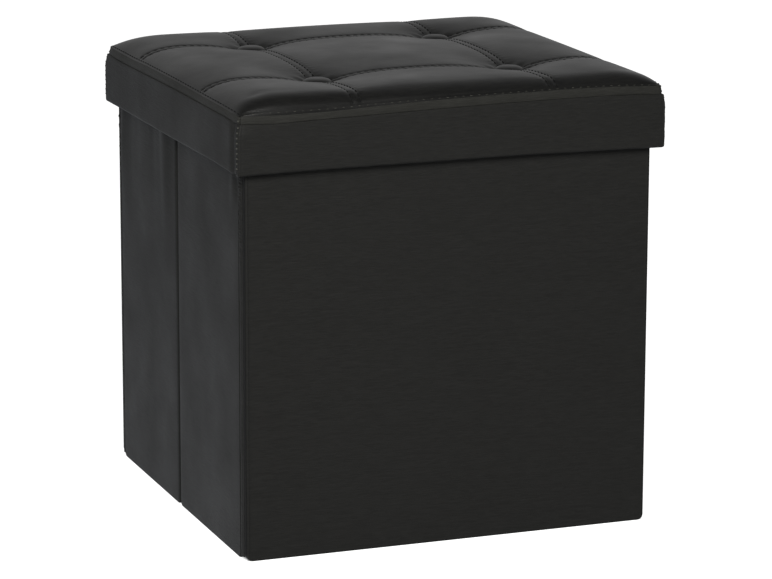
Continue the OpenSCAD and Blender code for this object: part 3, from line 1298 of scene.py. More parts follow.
@dataclass
class Gusset:
    """Gathered strip at one corner, from a side wall's end to the edge of the next wall (mm).

    The stops are shares of its run. At each one its section has a depth, as a share of its reach but in
    millimetres behind its start, and a tuck inwards from the wall's face. The last two tucks are those
    of its seat on the next wall.
    """

    name: str
    mirror_x: bool
    mirror_y: bool
    side_body: str
    wall_body: str
    blended: bool = True
    strip_t: float = 0.7
    # The tape is a sheet down the groove in matt black, painted shade where the groove is dark.
    tape_t: float = 0.4
    tape_gap: float = 0.12
    tape_insets: tuple[float, float] = (8.2, 1.3)
    tape_shows: float = 5.2
    fold_pitch: float = 9.0
    bead_pitch: float = 2.7
    bead_depth: float = 0.4
    fold_depth: float = 0.45
    fullness: float = 0.6
    fold_zone: float = 95.0
    skirt_edge: float = 330.0
    seed: int = 5
    stops: tuple[float, ...] = (0.0, 0.12, 0.3, 0.5, 0.68, 0.8, 0.9, 1.0)
    depths: tuple[float, ...] = (-2.0, 0.02, 0.2, 0.42, 0.64, 0.8, 0.92, 1.0)
    tucks: tuple[float, ...] = (1.9, 0.9, 0.1, 0.2, 0.5, 0.9)
    seat: float = 0.9
    hold_from: tuple[float, float] = (1.0, 0.5)
    hold_to: tuple[float, float] = (0.3, 5.0)

    def build(self, finishes: Finishes, side_wall: WallPanel, wall: WallPanel) -> None:
        """Builds the strip and the tape behind it; the strip rides on the wall beside it, or stays where it
        is built when blended is set.

        Args:
            finishes: The finishes to dress it in.
            side_wall: The half panel on its outer side.
            wall: The front or back panel beside it.
        """
        self.low, self.high = box_mm(f"{self.name}_gusset")
        self.outer = abs(side_wall.origin[0])
        self.edge = wall.length / 2
        self.end = abs(side_wall.origin[1]) + side_wall.length / 2
        self.face = abs(wall.origin[1])
        strip = self._strip()
        body = None if self.blended else self.wall_body
        finish_piece(strip, finishes.wall, "vinyl", body, f"{self.name}_gusset")
        if self.blended:
            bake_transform(strip)
        tape = self._shade_tape()
        # The matt black thread finish on the tape is painted shade in the groove beside the strip.
        finish_piece(tape, finishes.thread, "lining", self.wall_body)

    def _signs(self) -> tuple[int, int]:
        """Which way the corner lies from the middle, along x and y."""
        return (-1 if self.mirror_x else 1), (-1 if self.mirror_y else 1)

    def _sheet(self, name: str, x: Array, y: Array, z: Array, thickness: float) -> Piece:
        """A strip of material at this corner, with its outer side turned out.

        Args:
            name: The strip's name.
            x: Places outwards to the side, as a grid.
            y: Places outwards to the front or back.
            z: Heights.
            thickness: The strip's thickness.

        Returns:
            The strip.
        """
        sign_x, sign_y = self._signs()
        places = np.stack([sign_x * x, sign_y * y, z], axis=-1)
        strip = grid_piece(name, places)
        if sum(face.area * face.normal.x for face in strip.data.polygons) * sign_x < 0:
            turn_over(strip)
        thicken(strip, thickness)
        smooth(strip, 60.0)
        return strip

    def _strip(self) -> Piece:
        """Hangs the leather slack under the lid and at the foot, and draws it back between them.

        Returns:
            The strip.
        """
        below = self.skirt_edge - self.fold_zone
        heights = np.concatenate(
            [np.linspace(self.low[2], below, 120), np.linspace(below, self.high[2], 250)[1:]]
        )
        reach = self.face - self.tape_shows - self.end + 0.25 * ripple(heights, 31.0, self.seed)
        run = np.linspace(0, 1, 29)[None, :]
        z = np.repeat(heights[:, None], run.shape[1], axis=1)
        depth = np.interp(run, self.stops, self.depths)
        seat = self.outer - self.edge - self.seat
        y = self.end + np.where(depth < 0, depth, depth * reach[:, None])
        tuck = np.interp(run, self.stops, (*self.tucks, seat, seat))
        x = self.outer - tuck + self._gathers(run, z)
        for _ in range(2):
            y[:, 1:-1] = (y[:, :-2] + 2 * y[:, 1:-1] + y[:, 2:]) / 4
            x[:, 1:-1] = (x[:, :-2] + 2 * x[:, 1:-1] + x[:, 2:]) / 4
        return self._sheet(f"{self.name}_corner_strip", x, y, z, self.strip_t)

    def _gathers(self, run: Array, heights: Array) -> Array:
        """Slanting folds across the strip: deep below the lid, and fine beads further down.

        Args:
            run: Shares of the way across, as one row.
            heights: The height of each place, as a grid.

        Returns:
            How far each place stands out.
        """
        across = np.sin(np.clip(run / 0.85, 0, 1) * math.pi) ** 0.7
        down = self.skirt_edge - heights
        zone = 1 - ease(down, self.fold_zone * 0.3, self.fold_zone)
        slant = 2.0 * run + 1.6 * ripple(heights, 29.0, self.seed)
        folds = np.sin(2 * math.pi * (heights + slant) / self.fold_pitch)
        beads = np.sin(2 * math.pi * (heights + 0.4 * slant) / self.bead_pitch)
        gathers = zone * (self.fold_depth * folds + self.bead_depth * beads + self.fullness)
        return across * (gathers + 0.25 * ripple(heights, 45.0, self.seed))

    def _shade_tape(self) -> Piece:
        """A tape down the panel's side, behind the strip, in the matt black thread finish so that it shows
        as the groove's shade: painted shade.
        """
        heights = np.linspace(self.low[2] + 2.0, self.high[2] - 2.0, 40)
        y, z = np.meshgrid(np.linspace(*(self.face - inset for inset in self.tape_insets), 8), heights)
        x = np.full_like(y, self.edge + self.tape_gap + self.tape_t)
        x[:, -1] -= self.tape_t
        return self._sheet(f"{self.name}_hinge_tape", x, y, z, self.tape_t)


@dataclass
class FoldStrip:
    """Soft strip down the fold between the two halves of a side wall (mm)."""

    side: str
    strip_t: float = 0.7
    slack: float = 1.6
    lap: float = 0.4
    set_back: float = 1.7
    hinge_depth: float = 2.0

    def build(self, finishes: Finishes, rear: WallPanel) -> None:
        """Builds the strip and bends it between the halves.

        Args:
            finishes: The finishes to dress it in.
            rear: The rear half panel, which gives the outer face and the fold's gap.
        """
        low, high = box_mm(f"{self.side}_fold_strip")
        outer = abs(rear.origin[0])
        half_gap = abs(rear.origin[1]) - rear.length / 2
        across = np.linspace(-1, 1, 13)
        heights = np.linspace(low[2], high[2], 110)
        y, z = np.meshgrid(across * (half_gap + self.lap), heights)
        share = np.clip(1 - (y / (half_gap + self.lap)) ** 2, 0, 1)
        x = outer - self.set_back - self.slack * share - 0.15 * ripple(z, 23.0, 11)
        sign = -1 if self.side == "left" else 1
        places = np.stack([sign * x, y, z], axis=-1)
        strip = grid_piece(f"{self.side}_fold_cloth", places)
        if strip.data.polygons[0].normal.x * sign < 0:
            turn_over(strip)
        thicken(strip, self.strip_t)
        smooth(strip, 60.0)
        finish_piece(strip, finishes.wall, "vinyl", None, f"{self.side}_fold_strip")
        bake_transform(strip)


@dataclass
class Shell:
    """The folding box of six walls."""

    finishes: Finishes

    def build(self) -> None:
        """Builds the walls, corner strips and fold strips."""
        walls = {wall.name: wall for wall in self._walls()}
        for wall in walls.values():
            wall.build(self.finishes)
        corners = (
            Gusset("left_front", True, True, "left_front", "front"),
            Gusset("right_front", False, True, "right_front", "front", blended=False, seed=15),
            Gusset("left_rear", True, False, "left_rear", "back", bead_depth=0.1, seed=25),
            Gusset("right_rear", False, False, "right_rear", "back", bead_depth=0.1, seed=35),
        )
        for corner in corners:
            corner.build(self.finishes, walls[corner.side_body], walls[corner.wall_body])
        for side in ("left", "right"):
            FoldStrip(side).build(self.finishes, walls[f"{side}_rear"])

    def _walls(self) -> tuple[WallPanel, ...]:
        """Lists the six panels, each with its creases.

        Returns:
            The panels.
        """
        by_fold = (
            Crease(-74.0, 334.0, 95.0, 6.0, 0.9, lean=-9.0),
            Crease(-55.0, 334.0, 120.0, 12.0, -1.0),
            Crease(-14.0, 334.0, 150.0, 17.0, 0.9),
            Crease(16.0, 334.0, 120.0, 8.0, -0.6),
            Crease(52.0, 334.0, 150.0, 13.0, 2.3, lean=5.0),
        )
        by_corner = (
            Crease(72.0, 326.0, 42.0, 6.0, 1.2, lean=-7.0),
            Crease(79.0, 322.0, 30.0, 4.0, -1.0, lean=3.0),
            Crease(77.0, 338.0, 20.0, 4.0, 1.0, lean=6.0),
            Crease(-22.0, 320.0, 150.0, 22.0, 0.35),
        )
        mirrored = tuple(
            Crease(-c.u, c.top, c.length * 0.9, c.width * 1.1, c.height * 0.8, -c.lean) for c in by_fold
        )
        far_corner = tuple(
            Crease(-c.u, c.top - 3, c.length, c.width, c.height * 0.9, -c.lean) for c in by_corner
        )
        return (
            WallPanel("front", Side.FRONT, edge_seams=True, seed=1),
            WallPanel("back", Side.BACK, edge_seams=True, seed=21),
            WallPanel("left_rear", Side.LEFT, by_fold, rolled=(0.0, 2.0), seed=2),
            WallPanel("left_front", Side.LEFT, by_corner, rolled=(0.6, 0.0), seed=3),
            WallPanel("right_rear", Side.RIGHT, mirrored, rolled=(2.0, 0.0), seed=4),
            WallPanel("right_front", Side.RIGHT, far_corner, rolled=(0.0, 0.6), seed=6),
        )


# ---- lid


@dataclass(frozen=True)
class Ring:
    """A rounded rectangle seen from above, with a seam at each corner (mm)."""

    half_w: float
    half_d: float
    corner_r: float
    step: float = 3.2
    near: tuple[float, ...] = (
        *(0.0, 0.35, 0.7, 1.1, 1.6, 2.2, 3.0, 3.9),
        *(4.8, 6.0, 7.4, 9.0, 10.6, 12.4, 14.4, 17.0),
    )

    def stations(self) -> tuple[Array, Array, Array, Array]:
        """Columns all round the ring, the last one on the first.

        Returns:
            Places, outward normals, distances from the nearest corner seam, and distances round.
        """
        places, normals, corner, around = [], [], [], []
        gone = 0.0
        for quarter in range(4):
            half_run, reach = (self.half_w, self.half_d) if quarter % 2 == 0 else (self.half_d, self.half_w)
            place, normal, stops, length = self._side(half_run, reach)
            turn = math.radians(90 * quarter)
            matrix = np.array([[math.cos(turn), -math.sin(turn)], [math.sin(turn), math.cos(turn)]])
            keep = slice(None) if quarter == 3 else slice(0, -1)
            places.append((place @ matrix.T)[keep])
            normals.append((normal @ matrix.T)[keep])
            corner.append(np.minimum(stops, length - stops)[keep])
            around.append((stops + gone)[keep])
            gone += length
        return tuple(np.concatenate(part) for part in (places, normals, corner, around))

    def _side(self, half_run: float, reach: float) -> tuple[Array, Array, Array, float]:
        """One side as the front one, from corner seam to corner seam.

        Args:
            half_run: Half the side's length.
            reach: The side's distance from the middle.

        Returns:
            Places, outward normals, distances along the side, and its length.
        """
        radius = self.corner_r
        arc = radius * math.pi / 4
        straight = 2 * (half_run - radius)
        length = straight + 2 * arc
        count = round((length - 2 * self.near[-1]) / self.step) + 1
        middle = np.linspace(self.near[-1], length - self.near[-1], count)
        stops = np.concatenate([self.near[:-1], middle, length - np.array(self.near[-2::-1])])
        before = np.clip(arc - stops, 0, arc) / radius
        after = np.clip(stops - arc - straight, 0, arc) / radius
        angle = -math.pi / 2 - before + after
        normal = np.stack([np.cos(angle), np.sin(angle)], axis=1)
        along = np.clip(stops - arc, 0, straight) - straight / 2
        centre = np.stack([along, np.full_like(along, -reach + radius)], axis=1)
        return centre + radius * normal, normal, stops, length


def ring_surface(
    x: Array, y: Array, normals: Array, reach: Array, pulls: tuple[Array, Array], z: Array
) -> Array:
    """The places of a surface that runs round the lid.

    Args:
        x: Each column's place along the width.
        y: Its place along the depth.
        normals: Its outward normal.
        reach: How far each row and column lies outwards.
        pulls: How far they are drawn in along x and along y.
        z: Their heights.

    Returns:
        Rows by columns by x, y, z.
    """
    along = x + normals[None, :, 0] * reach - np.sign(x) * pulls[0]
    across = y + normals[None, :, 1] * reach - np.sign(y) * pulls[1]
    return np.stack([along, across, z], axis=-1)


# Short threads laid across the corner seams, one above another.
CORNER_SEAM = Seam(pitch=4.2, length=1.4, thread=0.9, sunk=0.4, across=2.4)


def corner_stitches(
    name: str,
    shape: Array,
    normals: Array,
    corner: Array,
    finishes: Finishes,
    beside: float = 1.6,
) -> None:
    """Sews threads up the four corners of a ring, just round the corner from the front or back.

    Args:
        name: The stitches' name.
        shape: The ring's surface, row by row upwards or downwards.
        normals: The outward normals of its columns.
        corner: The distance of each column from the nearest corner.
        finishes: The finishes to dress them in.
        beside: The distance of the stitched columns from their corner.
    """
    chosen = (np.abs(corner - beside) < SAME_PLACE) & (np.abs(normals[:, 0]) > np.abs(normals[:, 1]))
    places = []
    for index in np.flatnonzero(chosen):
        upright = np.tile((*normals[index], 0.0), (len(shape), 1))
        places += CORNER_SEAM.places(shape[:, index], upright)
    stitches = repeat(name, CORNER_SEAM.template(), places)
    # These threads are painted paler to stand in for their glints: painted highlight.
    finish_piece(stitches, finishes.painted_glint_thread, "vinyl", "lid")


@dataclass(frozen=True)
class SeamLine:
    """How far a seam round the lid strays from level and from square (mm).

    Each rise is an angle in degrees, seen from above with 0 to the right, and a height. Each
    corner is how far the seam is drawn in there, both ways.
    """

    rises: tuple[tuple[float, float], ...]
    corners: tuple[float, float, float, float]

    def rise(self, x: Array, y: Array) -> Array:
        """How much higher than level the seam lies at each place."""
        angles, heights = np.array(self.rises).T
        return np.interp(np.degrees(np.arctan2(y, x)), angles, heights, period=360)

    def draw_in(self, x: Array, y: Array, half_w: float, half_d: float) -> Array:
        """How far the corners draw the seam in, both ways.

        Args:
            x: Places along the width.
            y: Places along the depth.
            half_w: Half the seam's width.
            half_d: Half its depth.

        Returns:
            The draw at each place, in millimetres.
        """
        reach = (np.abs(x) / half_w * np.abs(y) / half_d) ** 12
        front_left, front_right, back_right, back_left = self.corners
        front = np.where(x < 0, front_left, front_right)
        back = np.where(x < 0, back_left, back_right)
        return reach * np.where(y < 0, front, back)


RIM_SEAM = SeamLine(
    rises=(
        *((-170.0, 0.9), (-141.0, 0.8), (-135.0, -1.2), (-130.0, -2.0), (-121.0, -0.6), (-111.0, 0.4)),
        *((-98.0, 1.6), (-78.0, 3.0), (-62.0, 3.6), (-54.0, 3.6), (-48.5, 3.0), (-45.0, 1.8)),
        *((-38.0, 1.8), (0.0, 1.5), (40.0, 1.0), (60.0, 0.5), (120.0, 0.2), (135.0, -0.8)),
        *((145.0, -1.0), (157.0, -0.4), (170.0, 0.3)),
    ),
    corners=(2.4, 1.0, 3.0, 1.6),
)
EDGE_SEAM = SeamLine(
    rises=(
        *((-162.0, -0.8), (-142.0, -1.4), (-135.0, -2.8), (-128.0, -3.4), (-121.0, -3.0), (-111.0, -1.2)),
        *((-98.0, 0.6), (-75.0, 2.2), (-60.0, 3.0), (-53.0, 2.6), (-50.0, 2.0), (-46.0, 1.0)),
        *((-44.0, 0.6), (-32.0, 0.0), (0.0, 0.0), (38.0, -0.6), (45.0, -1.2), (60.0, -0.2)),
        *((120.0, -0.4), (135.0, -2.2), (142.0, -2.2), (151.0, -2.2), (160.0, -1.0), (180.0, -0.6)),
    ),
    corners=(2.4, 1.2, 4.0, 2.6),
)
HEM = SeamLine(
    rises=(
        *((-180.0, -1.9), (-146.0, -0.8), (-140.0, -1.5), (-135.3, -2.3), (-128.0, -1.4), (-118.0, -1.0)),
        *((-95.0, -0.7), (-70.0, -0.6), (-52.0, -1.6), (-44.7, -2.2), (-38.0, -1.6), (0.0, -1.0)),
        *((38.0, -1.4), (45.0, -2.2), (60.0, -1.2), (120.0, -1.2), (135.0, -2.8), (145.0, -2.2)),
    ),
    corners=(0.0, 0.0, 0.0, 0.0),
)


def button_pitch() -> tuple[float, float]:
    """How far the buttons lie from the middle along x and y, as their washers do."""
    washers = points(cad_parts["twine_washers"])
    return tuple(float(np.abs(washers[:, axis]).mean()) for axis in (0, 1))


@dataclass
class LidSkirt:
    """Faux leather sewn of four sides round the lid's rim, and the lining inside it (mm)."""

    finishes: Finishes
    corner_r: float = 3.0
    edge_r: float = 2.6
    corner_slack: float = 1.6
    tuck_depth: float = 1.9
    tuck_at: float = 10.0
    tuck_w: float = 4.0
    cover_t: float = 0.8
    upper_r: float = 0.9
    inner_r: float = 0.8
    top_gap: float = 0.3
    under_band: float = 4.5
    inside_rise: float = 2.5
    inside_rows: int = 7
    groove_at: float = 2.2
    groove_w: float = 0.7
    groove_depth: float = 0.35
    roll_w: float = 1.4
    roll_height: float = 0.3
    wave_pitch: float = 90.0
    wave_height: float = 0.2
    pucker_reach: float = 6.0
    pucker_pitch: float = 3.0
    pucker_height: float = 0.1
    face_from: tuple[float, float] = (-2.5, -0.5)

    def build(self) -> None:
        """Builds the skirt, its boards and its corner stitches."""
        self.low, self.high = box_mm("skirt_cover")
        rim_low, _ = box_mm("skirt_lining")
        half_w, half_d = (self.high - self.low)[:2] / 2
        places, normals, corner, around = Ring(half_w, half_d, self.corner_r).stations()
        out, z = self._profile(self.low[2], self.high[2], float(rim_low[0] - self.low[0]))
        share = ease(z, self.low[2] + 12.0, self.high[2])[:, None]
        fold = ease(z, self.low[2] + 26.0, self.high[2])[:, None] ** 2
        x, y = places.T
        pull = RIM_SEAM.draw_in(x, y, half_w, half_d)[None, :] * fold
        slack = self.corner_slack * (np.abs(y) / half_d) ** 30 * (x < 0) * (y < 0)
        face = ease(out, *self.face_from)[:, None]
        slack = slack[None, :] * face
        hang = (1 - ease(z, self.low[2], self.high[2] - 10.0)) * ease(out, out.min(), -self.edge_r)
        tuck = self.tuck_depth * bump(corner - self.tuck_at, self.tuck_w)
        tuck = tuck * (np.abs(normals[:, 0]) > UPRIGHT) * (y < 0)
        reach = out[:, None] + self._relief(corner, around, z, face) - tuck[None, :] * face
        height = z[:, None] + RIM_SEAM.rise(x, y)[None, :] * share + HEM.rise(x, y) * hang[:, None]
        shape = ring_surface(x, y, normals, reach, (pull + slack, pull), height)
        cover = grid_piece("lid_skirt_cover", shape, closed=True)
        self.face_out(cover)
        thicken(cover, self.cover_t)
        smooth(cover, 50.0)
        finish_piece(cover, self.finishes.wall, "vinyl", "lid", "skirt_cover")
        self._stitches(shape, normals, corner)
        self._boards()

    @staticmethod
    def face_out(piece: Piece) -> None:
        """Turns a ring's faces away from its middle."""
        upright = [face for face in piece.data.polygons if abs(face.normal.z) < 0.5]
        if sum(face.area * face.normal.dot(face.center) for face in upright) < 0:
            turn_over(piece)

    def _profile(self, bottom: float, top: float, rim: float) -> tuple[Array, Array]:
        """Section from the top seam down, round the lower edge and up to the lining.

        Args:
            bottom: The height of the lower edge.
            top: The height of the top seam.
            rim: The distance from the outer face in to the lining.

        Returns:
            Distances outwards from the face, and heights.
        """
        radius, upper_r, inner = self.edge_r, self.upper_r, self.inner_r
        turn = np.radians(np.linspace(0, 90, 7))
        rolled = np.radians(np.linspace(90, 0, 5))
        upper_out = -upper_r + upper_r * np.cos(rolled)
        upper_z = top - self.top_gap - upper_r + upper_r * np.sin(rolled)
        face_z = np.linspace(upper_z[-1], bottom + radius, 17)[1:-1]
        lower_out = -radius + radius * np.cos(turn)
        lower_z = bottom + radius - radius * np.sin(turn)
        foot_out = np.linspace(-radius, -rim + inner, 4)[1:]
        inside_out = -rim + inner - inner * np.sin(turn[1::2])
        inside_z = bottom + inner - inner * np.cos(turn[1::2])
        face_out, foot_z = np.zeros_like(face_z), np.full_like(foot_out, bottom)
        out = (-self.under_band, *upper_out, *face_out, *lower_out, *foot_out, *inside_out, -rim)
        start, end = top - self.top_gap, bottom + self.inside_rise
        z = (start, *upper_z, *face_z, *lower_z, *foot_z, *inside_z, end)
        return np.array(out), np.array(z)

    def _relief(self, corner: Array, around: Array, z: Array, face: Array) -> Array:
        """Seam grooves at the corners and a soft waviness.

        Args:
            corner: Each column's distance from the nearest corner.
            around: Its distance round the ring.
            z: Each row's height.
            face: Each row's share of the outer face.

        Returns:
            The relief of each row and column.
        """
        groove = -self.groove_depth * bump(corner - self.groove_at, self.groove_w)[None, :] * face
        rolls = self.roll_height * bump(corner, self.roll_w)[None, :] * face
        wave = self.wave_height * ripple(around, self.wave_pitch, 8)[None, :] * face
        wave = wave * ease(corner, 4.0, 20.0)[None, :]
        pucker = self.pucker_height * face * bump(corner, self.pucker_reach)[None, :]
        pucker = pucker * np.sin(2 * math.pi * z / self.pucker_pitch)[:, None]
        return groove + rolls + wave + pucker

    def _stitches(self, shape: Array, normals: Array, corner: Array) -> None:
        """Threads laid across each corner seam, one above another."""
        outer = shape[: -self.inside_rows]
        heights = outer[:, 0, 2]
        upright = outer[(heights > self.low[2] + 2.0) & (heights < self.high[2] - 2.0)]
        corner_stitches("skirt_corner_stitches", upright, normals, corner, self.finishes)

    def _boards(self) -> None:
        """The board under the cushion and the four round the rim."""
        x, y = button_pitch()
        holes = tuple((a * x, b * y) for a in (-1, 1) for b in (-1, 1))
        top_board = Board("lid_board", "lid", 2, corner_r=16.0, edge_r=3.4, holes=holes, trim=(1.5, 1.5))
        top_board.build(self.finishes)
        for side, thin in (("front", 1), ("back", 1), ("left", 0), ("right", 0)):
            trim = (2.0, 0.0) if thin else (0.0, 18.0)
            board = Board(f"skirt_board_{side}", "lid", thin, corner_r=2.6, edge_r=1.9, trim=trim)
            board.build(self.finishes)


@dataclass
class Cushion:
    """The padded, tufted top of the lid: skin, foam, band, stitches and buttons (mm)."""

    finishes: Finishes
    rolls: tuple[float, float, float, float] = (49.0, 47.0, 24.0, 67.0)
    roll_bow: float = 2.7
    roll_rise: float = 1.44
    edge_steps: tuple[float, ...] = (0.0, 0.25, 0.6, 1.0, 1.5, 2.2, 3.0, 4.0, 5.2, 6.6)
    flat_step: float = 1.6
    edge_inset: float = 1.0
    sag: float = 4.8
    lean: float = 0.6
    panel_crown: float = 1.2
    dimple_depth: float = 9.2
    dimple_floor: float = 9.0
    dimple_reach: float = 20.0
    off_centre: tuple[float, float] = (1.9, 0.0)
    row_gap: float = 7.3
    stitch_pitch: float = 6.75
    edge_pitch: float = 7.0
    row_depth: float = 0.5
    row_w: float = 1.4
    row_reach: float = 9.0
    hole_depth: float = 0.4
    puff_height: float = 0.22
    puff_at: float = 3.4
    puff_w: float = 2.6
    ridge: float = 0.3
    ridge_w: float = 2.2
    folds: int = 8
    fold_height: float = 0.4
    fold_at: float = 15.0
    fold_reach: float = 7.0
    sewn_inset: float = 6.0
    edge_groove: float = 0.35
    edge_groove_at: float = 1.4
    edge_groove_w: float = 0.8
    lap: float = 1.8
    lap_drop: float = 0.8
    skin_gap: float = 0.3
    band_t: float = 0.8
    band_corner_r: float = 4.0
    band_lean: float = 0.9
    band_bow: float = 0.35
    band_turn: float = 3.5
    band_groove: float = 0.6
    band_wave: float = 0.12
    band_wave_pitch: float = 40.0
    band_set_back: float = 0.1
    band_lap: float = 0.15
    button_over: float = 0.6
    pleats: int = 14
    pleat_depth: float = 0.02
    pad_voxel: float = 5.0
    pad_gap: float = 0.2
    row_hold: float = 0.75
    row_hold_w: float = 6.0
    button_hold: tuple[float, float] = (10.0, 16.0)
    edge_hold: tuple[float, float] = (1.0, 6.0)
    pressure: float = 4.0
    swell_steps: int = 20
    swell_cap: float = 2.0
    foam_inset: float = 2.6
    foam_gap: float = 0.1
    button_gap: float = 0.5

    def __post_init__(self) -> None:
        """Reads the cushion's sizes from its nodes."""
        low, high = box_mm("cushion_band")
        self.half_w, self.half_d = (float(half) - self.edge_inset for half in (high - low)[:2] / 2)
        self.foot, self.seam_z = float(low[2]), float(high[2])
        self.crown = float(box_mm("cushion_top")[1][2])
        _, buttons_high = box_mm("tufting_buttons")
        self.pitch_x, self.pitch_y = button_pitch()
        self.button_r = float(buttons_high[0]) - self.pitch_x

    # The skin is a grid whose rows and columns crowd together at the rolled edges

    def _stops(self, half: float) -> Array:
        """Places across the cushion."""
        near = np.array(self.edge_steps)
        flat = half - near[-1] - self.flat_step
        middle = np.linspace(-flat, flat, round(2 * flat / self.flat_step) + 1)
        return np.concatenate([near - half, middle, (half - near)[::-1]])

    def _rolled(self, inside: Array, width: float) -> Array:
        """The share of the crown that is reached this far inside an edge."""
        share = 1 - (1 - np.clip(inside / width, 0, 1)) ** self.roll_bow
        return share ** (1 / self.roll_rise)

    def _spots(self, x: Array, y: Array) -> Iterator[tuple[Array, Array]]:
        """Offsets from each of the four buttons."""
        for sx in (-1, 1):
            for sy in (-1, 1):
                yield x - self.off_centre[0] - sx * self.pitch_x, y - self.off_centre[1] - sy * self.pitch_y

    def _base(self) -> tuple[Array, Array, Array]:
        """Lays out the crowned skin, without its sewing.

        Returns:
            The skin's places, and its plan places x and y before the corners are drawn in.
        """
        x, y = np.meshgrid(self._stops(self.half_w), self._stops(self.half_d))
        left, right, front, back = self.rolls
        keep = self._rolled(self.half_w + x, left) * self._rolled(self.half_w - x, right)
        keep = keep * self._rolled(self.half_d + y, front) * self._rolled(self.half_d - y, back)
        panel = self._panel(x - self.off_centre[0], self.pitch_x, self.half_w)
        panel = panel * self._panel(y - self.off_centre[1], self.pitch_y, self.half_d)
        top = self.crown - self.sag - self.seam_z + self.lean * x / self.half_w
        top = top - self.panel_crown * (1 - panel)
        for dx, dy in self._spots(x, y):
            away = np.maximum(np.hypot(dx, dy) - self.dimple_floor, 0)
            top = top - self.dimple_depth * np.exp(-away / self.dimple_reach)
        z = self.seam_z + top * keep + EDGE_SEAM.rise(x, y) * (1 - keep) ** 2
        pull = EDGE_SEAM.draw_in(x, y, self.half_w, self.half_d)
        return np.stack([x - np.sign(x) * pull, y - np.sign(y) * pull, z], axis=-1), x, y

    @staticmethod
    def _panel(place: Array, pitch: float, half: float) -> Array:
        """1 in the middle of a quilted panel and 0 on its rows, across one direction."""
        inner = np.cos(np.clip(place / pitch, -1, 1) * math.pi / 2)
        outer = np.sin(np.clip((np.abs(place) - pitch) / (half - pitch), 0, 1) * math.pi)
        return np.clip(np.where(np.abs(place) < pitch, inner, outer), 0, 1) ** 0.5

    @staticmethod
    def _normals(shape: Array) -> Array:
        """Unit normals of a grid of places."""
        along_rows = np.gradient(shape, axis=0)
        along_columns = np.gradient(shape, axis=1)
        normal = np.cross(along_columns, along_rows)
        return normal / np.linalg.norm(normal, axis=-1, keepdims=True)

    def _sewing(self, x: Array, y: Array, run_x: Array, run_y: Array) -> Array:
        """How far the rows of stitches and the buttons draw the skin in.

        Args:
            x: Plan places along the width.
            y: Plan places along the depth.
            run_x: Distances over the surface along the width.
            run_y: Distances over the surface along the depth.

        Returns:
            The lift at each place, which is mostly below 0.
        """
        lift = np.zeros_like(x)
        off_x, off_y = self.off_centre
        for place, run, pitch in ((x - off_x, run_y, self.pitch_x), (y - off_y, run_x, self.pitch_y)):
            for sign in (-1, 1):
                away = place - sign * pitch
                lift -= self.row_depth * bump(away, self.row_reach)
                holes = 0.5 + 0.5 * np.cos(2 * math.pi * run / self.stitch_pitch)
                for row in (-1, 1):
                    beside = away - row * self.row_gap / 2
                    lift -= (self.row_depth + self.hole_depth * holes) * bump(beside, self.row_w)
                    puff = bump(beside - row * self.puff_at, self.puff_w)
                    lift += self.puff_height * (holes - 0.5) * puff
                lift += self.ridge * bump(away, self.ridge_w)
        for number, (dx, dy) in enumerate(self._spots(x, y)):
            away, angle = np.hypot(dx, dy), np.arctan2(dy, dx)
            folds = np.cos(self.folds * angle + 0.8 * np.sin(3 * angle + 2 * number))
            lift += self.fold_height * folds * bump(away - self.fold_at, self.fold_reach)
        return lift

    def build(self) -> None:
        """Builds the cushion from the skin inwards."""
        shape, x, y = self._base()
        pad = self._pad(shape)
        shape = self._carry(shape, *self._swell(pad))
        self._core(pad)
        normals = self._normals(shape)
        sewn = self._sewing(x, y, self._run(shape, 1), self._run(shape, 0))
        edge = np.minimum(self.half_w - np.abs(x), self.half_d - np.abs(y))
        groove = self.edge_groove * bump(edge - self.edge_groove_at, self.edge_groove_w)
        sewn = sewn * ease(edge, 0.0, self.sewn_inset) - groove
        shape = shape + normals * sewn[..., None]
        skin = self._close(shape)
        finish_piece(skin, self.finishes.cushion, "cushion_vinyl", "lid", "cushion_top")
        self._stitch(shape, self._normals(shape), x, y)
        self._band()
        self._buttons(shape)

    @staticmethod
    def _run(shape: Array, axis: int) -> Array:
        """Distance over the surface from its middle, along one axis of the grid."""
        steps = np.linalg.norm(np.diff(shape, axis=axis), axis=-1)
        start = np.zeros_like(steps.take([0], axis=axis))
        run = np.concatenate([start, np.cumsum(steps, axis=axis)], axis=axis)
        middle = run.shape[axis] // 2
        return run - run.take([middle], axis=axis)

    def _close(self, shape: Array) -> Piece:
        """Closes the skin: its edge is carried down inside the band and capped.

        Args:
            shape: The skin's places.

        Returns:
            The closed skin.
        """
        skin = grid_piece("quilted_cushion_cover", shape)
        size = 1 - self.lap / self.half_w
        with editing(skin, Element.EDGE):
            pick_rim()
            bpy.ops.mesh.extrude_region_move(TRANSFORM_OT_translate={"value": mm(0, 0, -self.lap_drop)})
            bpy.ops.transform.resize(value=(size, size, 1), center_override=(0, 0, 0))
            bpy.ops.mesh.extrude_region_move()
            bpy.ops.transform.resize(value=(1, 1, 0), center_override=mm(0, 0, self.foot + self.skin_gap))
            bpy.ops.mesh.edge_face_add()
        smooth(skin, 60.0)
        return skin

    # The pad is a coarse closed copy, on which the swelling is simulated

    def _pad(self, shape: Array) -> Piece:
        """Makes a closed, evenly meshed copy of the cushion.

        Args:
            shape: The skin's places.

        Returns:
            The pad.
        """
        pad = grid_piece("cushion_foam_core", shape[::3, ::3])
        with editing(pad, Element.EDGE):
            pick_rim()
            bpy.ops.mesh.extrude_region_move()
            bpy.ops.transform.resize(value=(1, 1, 0), center_override=mm(0, 0, self.foot + self.pad_gap))
            bpy.ops.mesh.edge_face_add()
        apply_modifier(pad, "REMESH", mode="VOXEL", voxel_size=self.pad_voxel * MM, use_smooth_shade=True)
        return pad

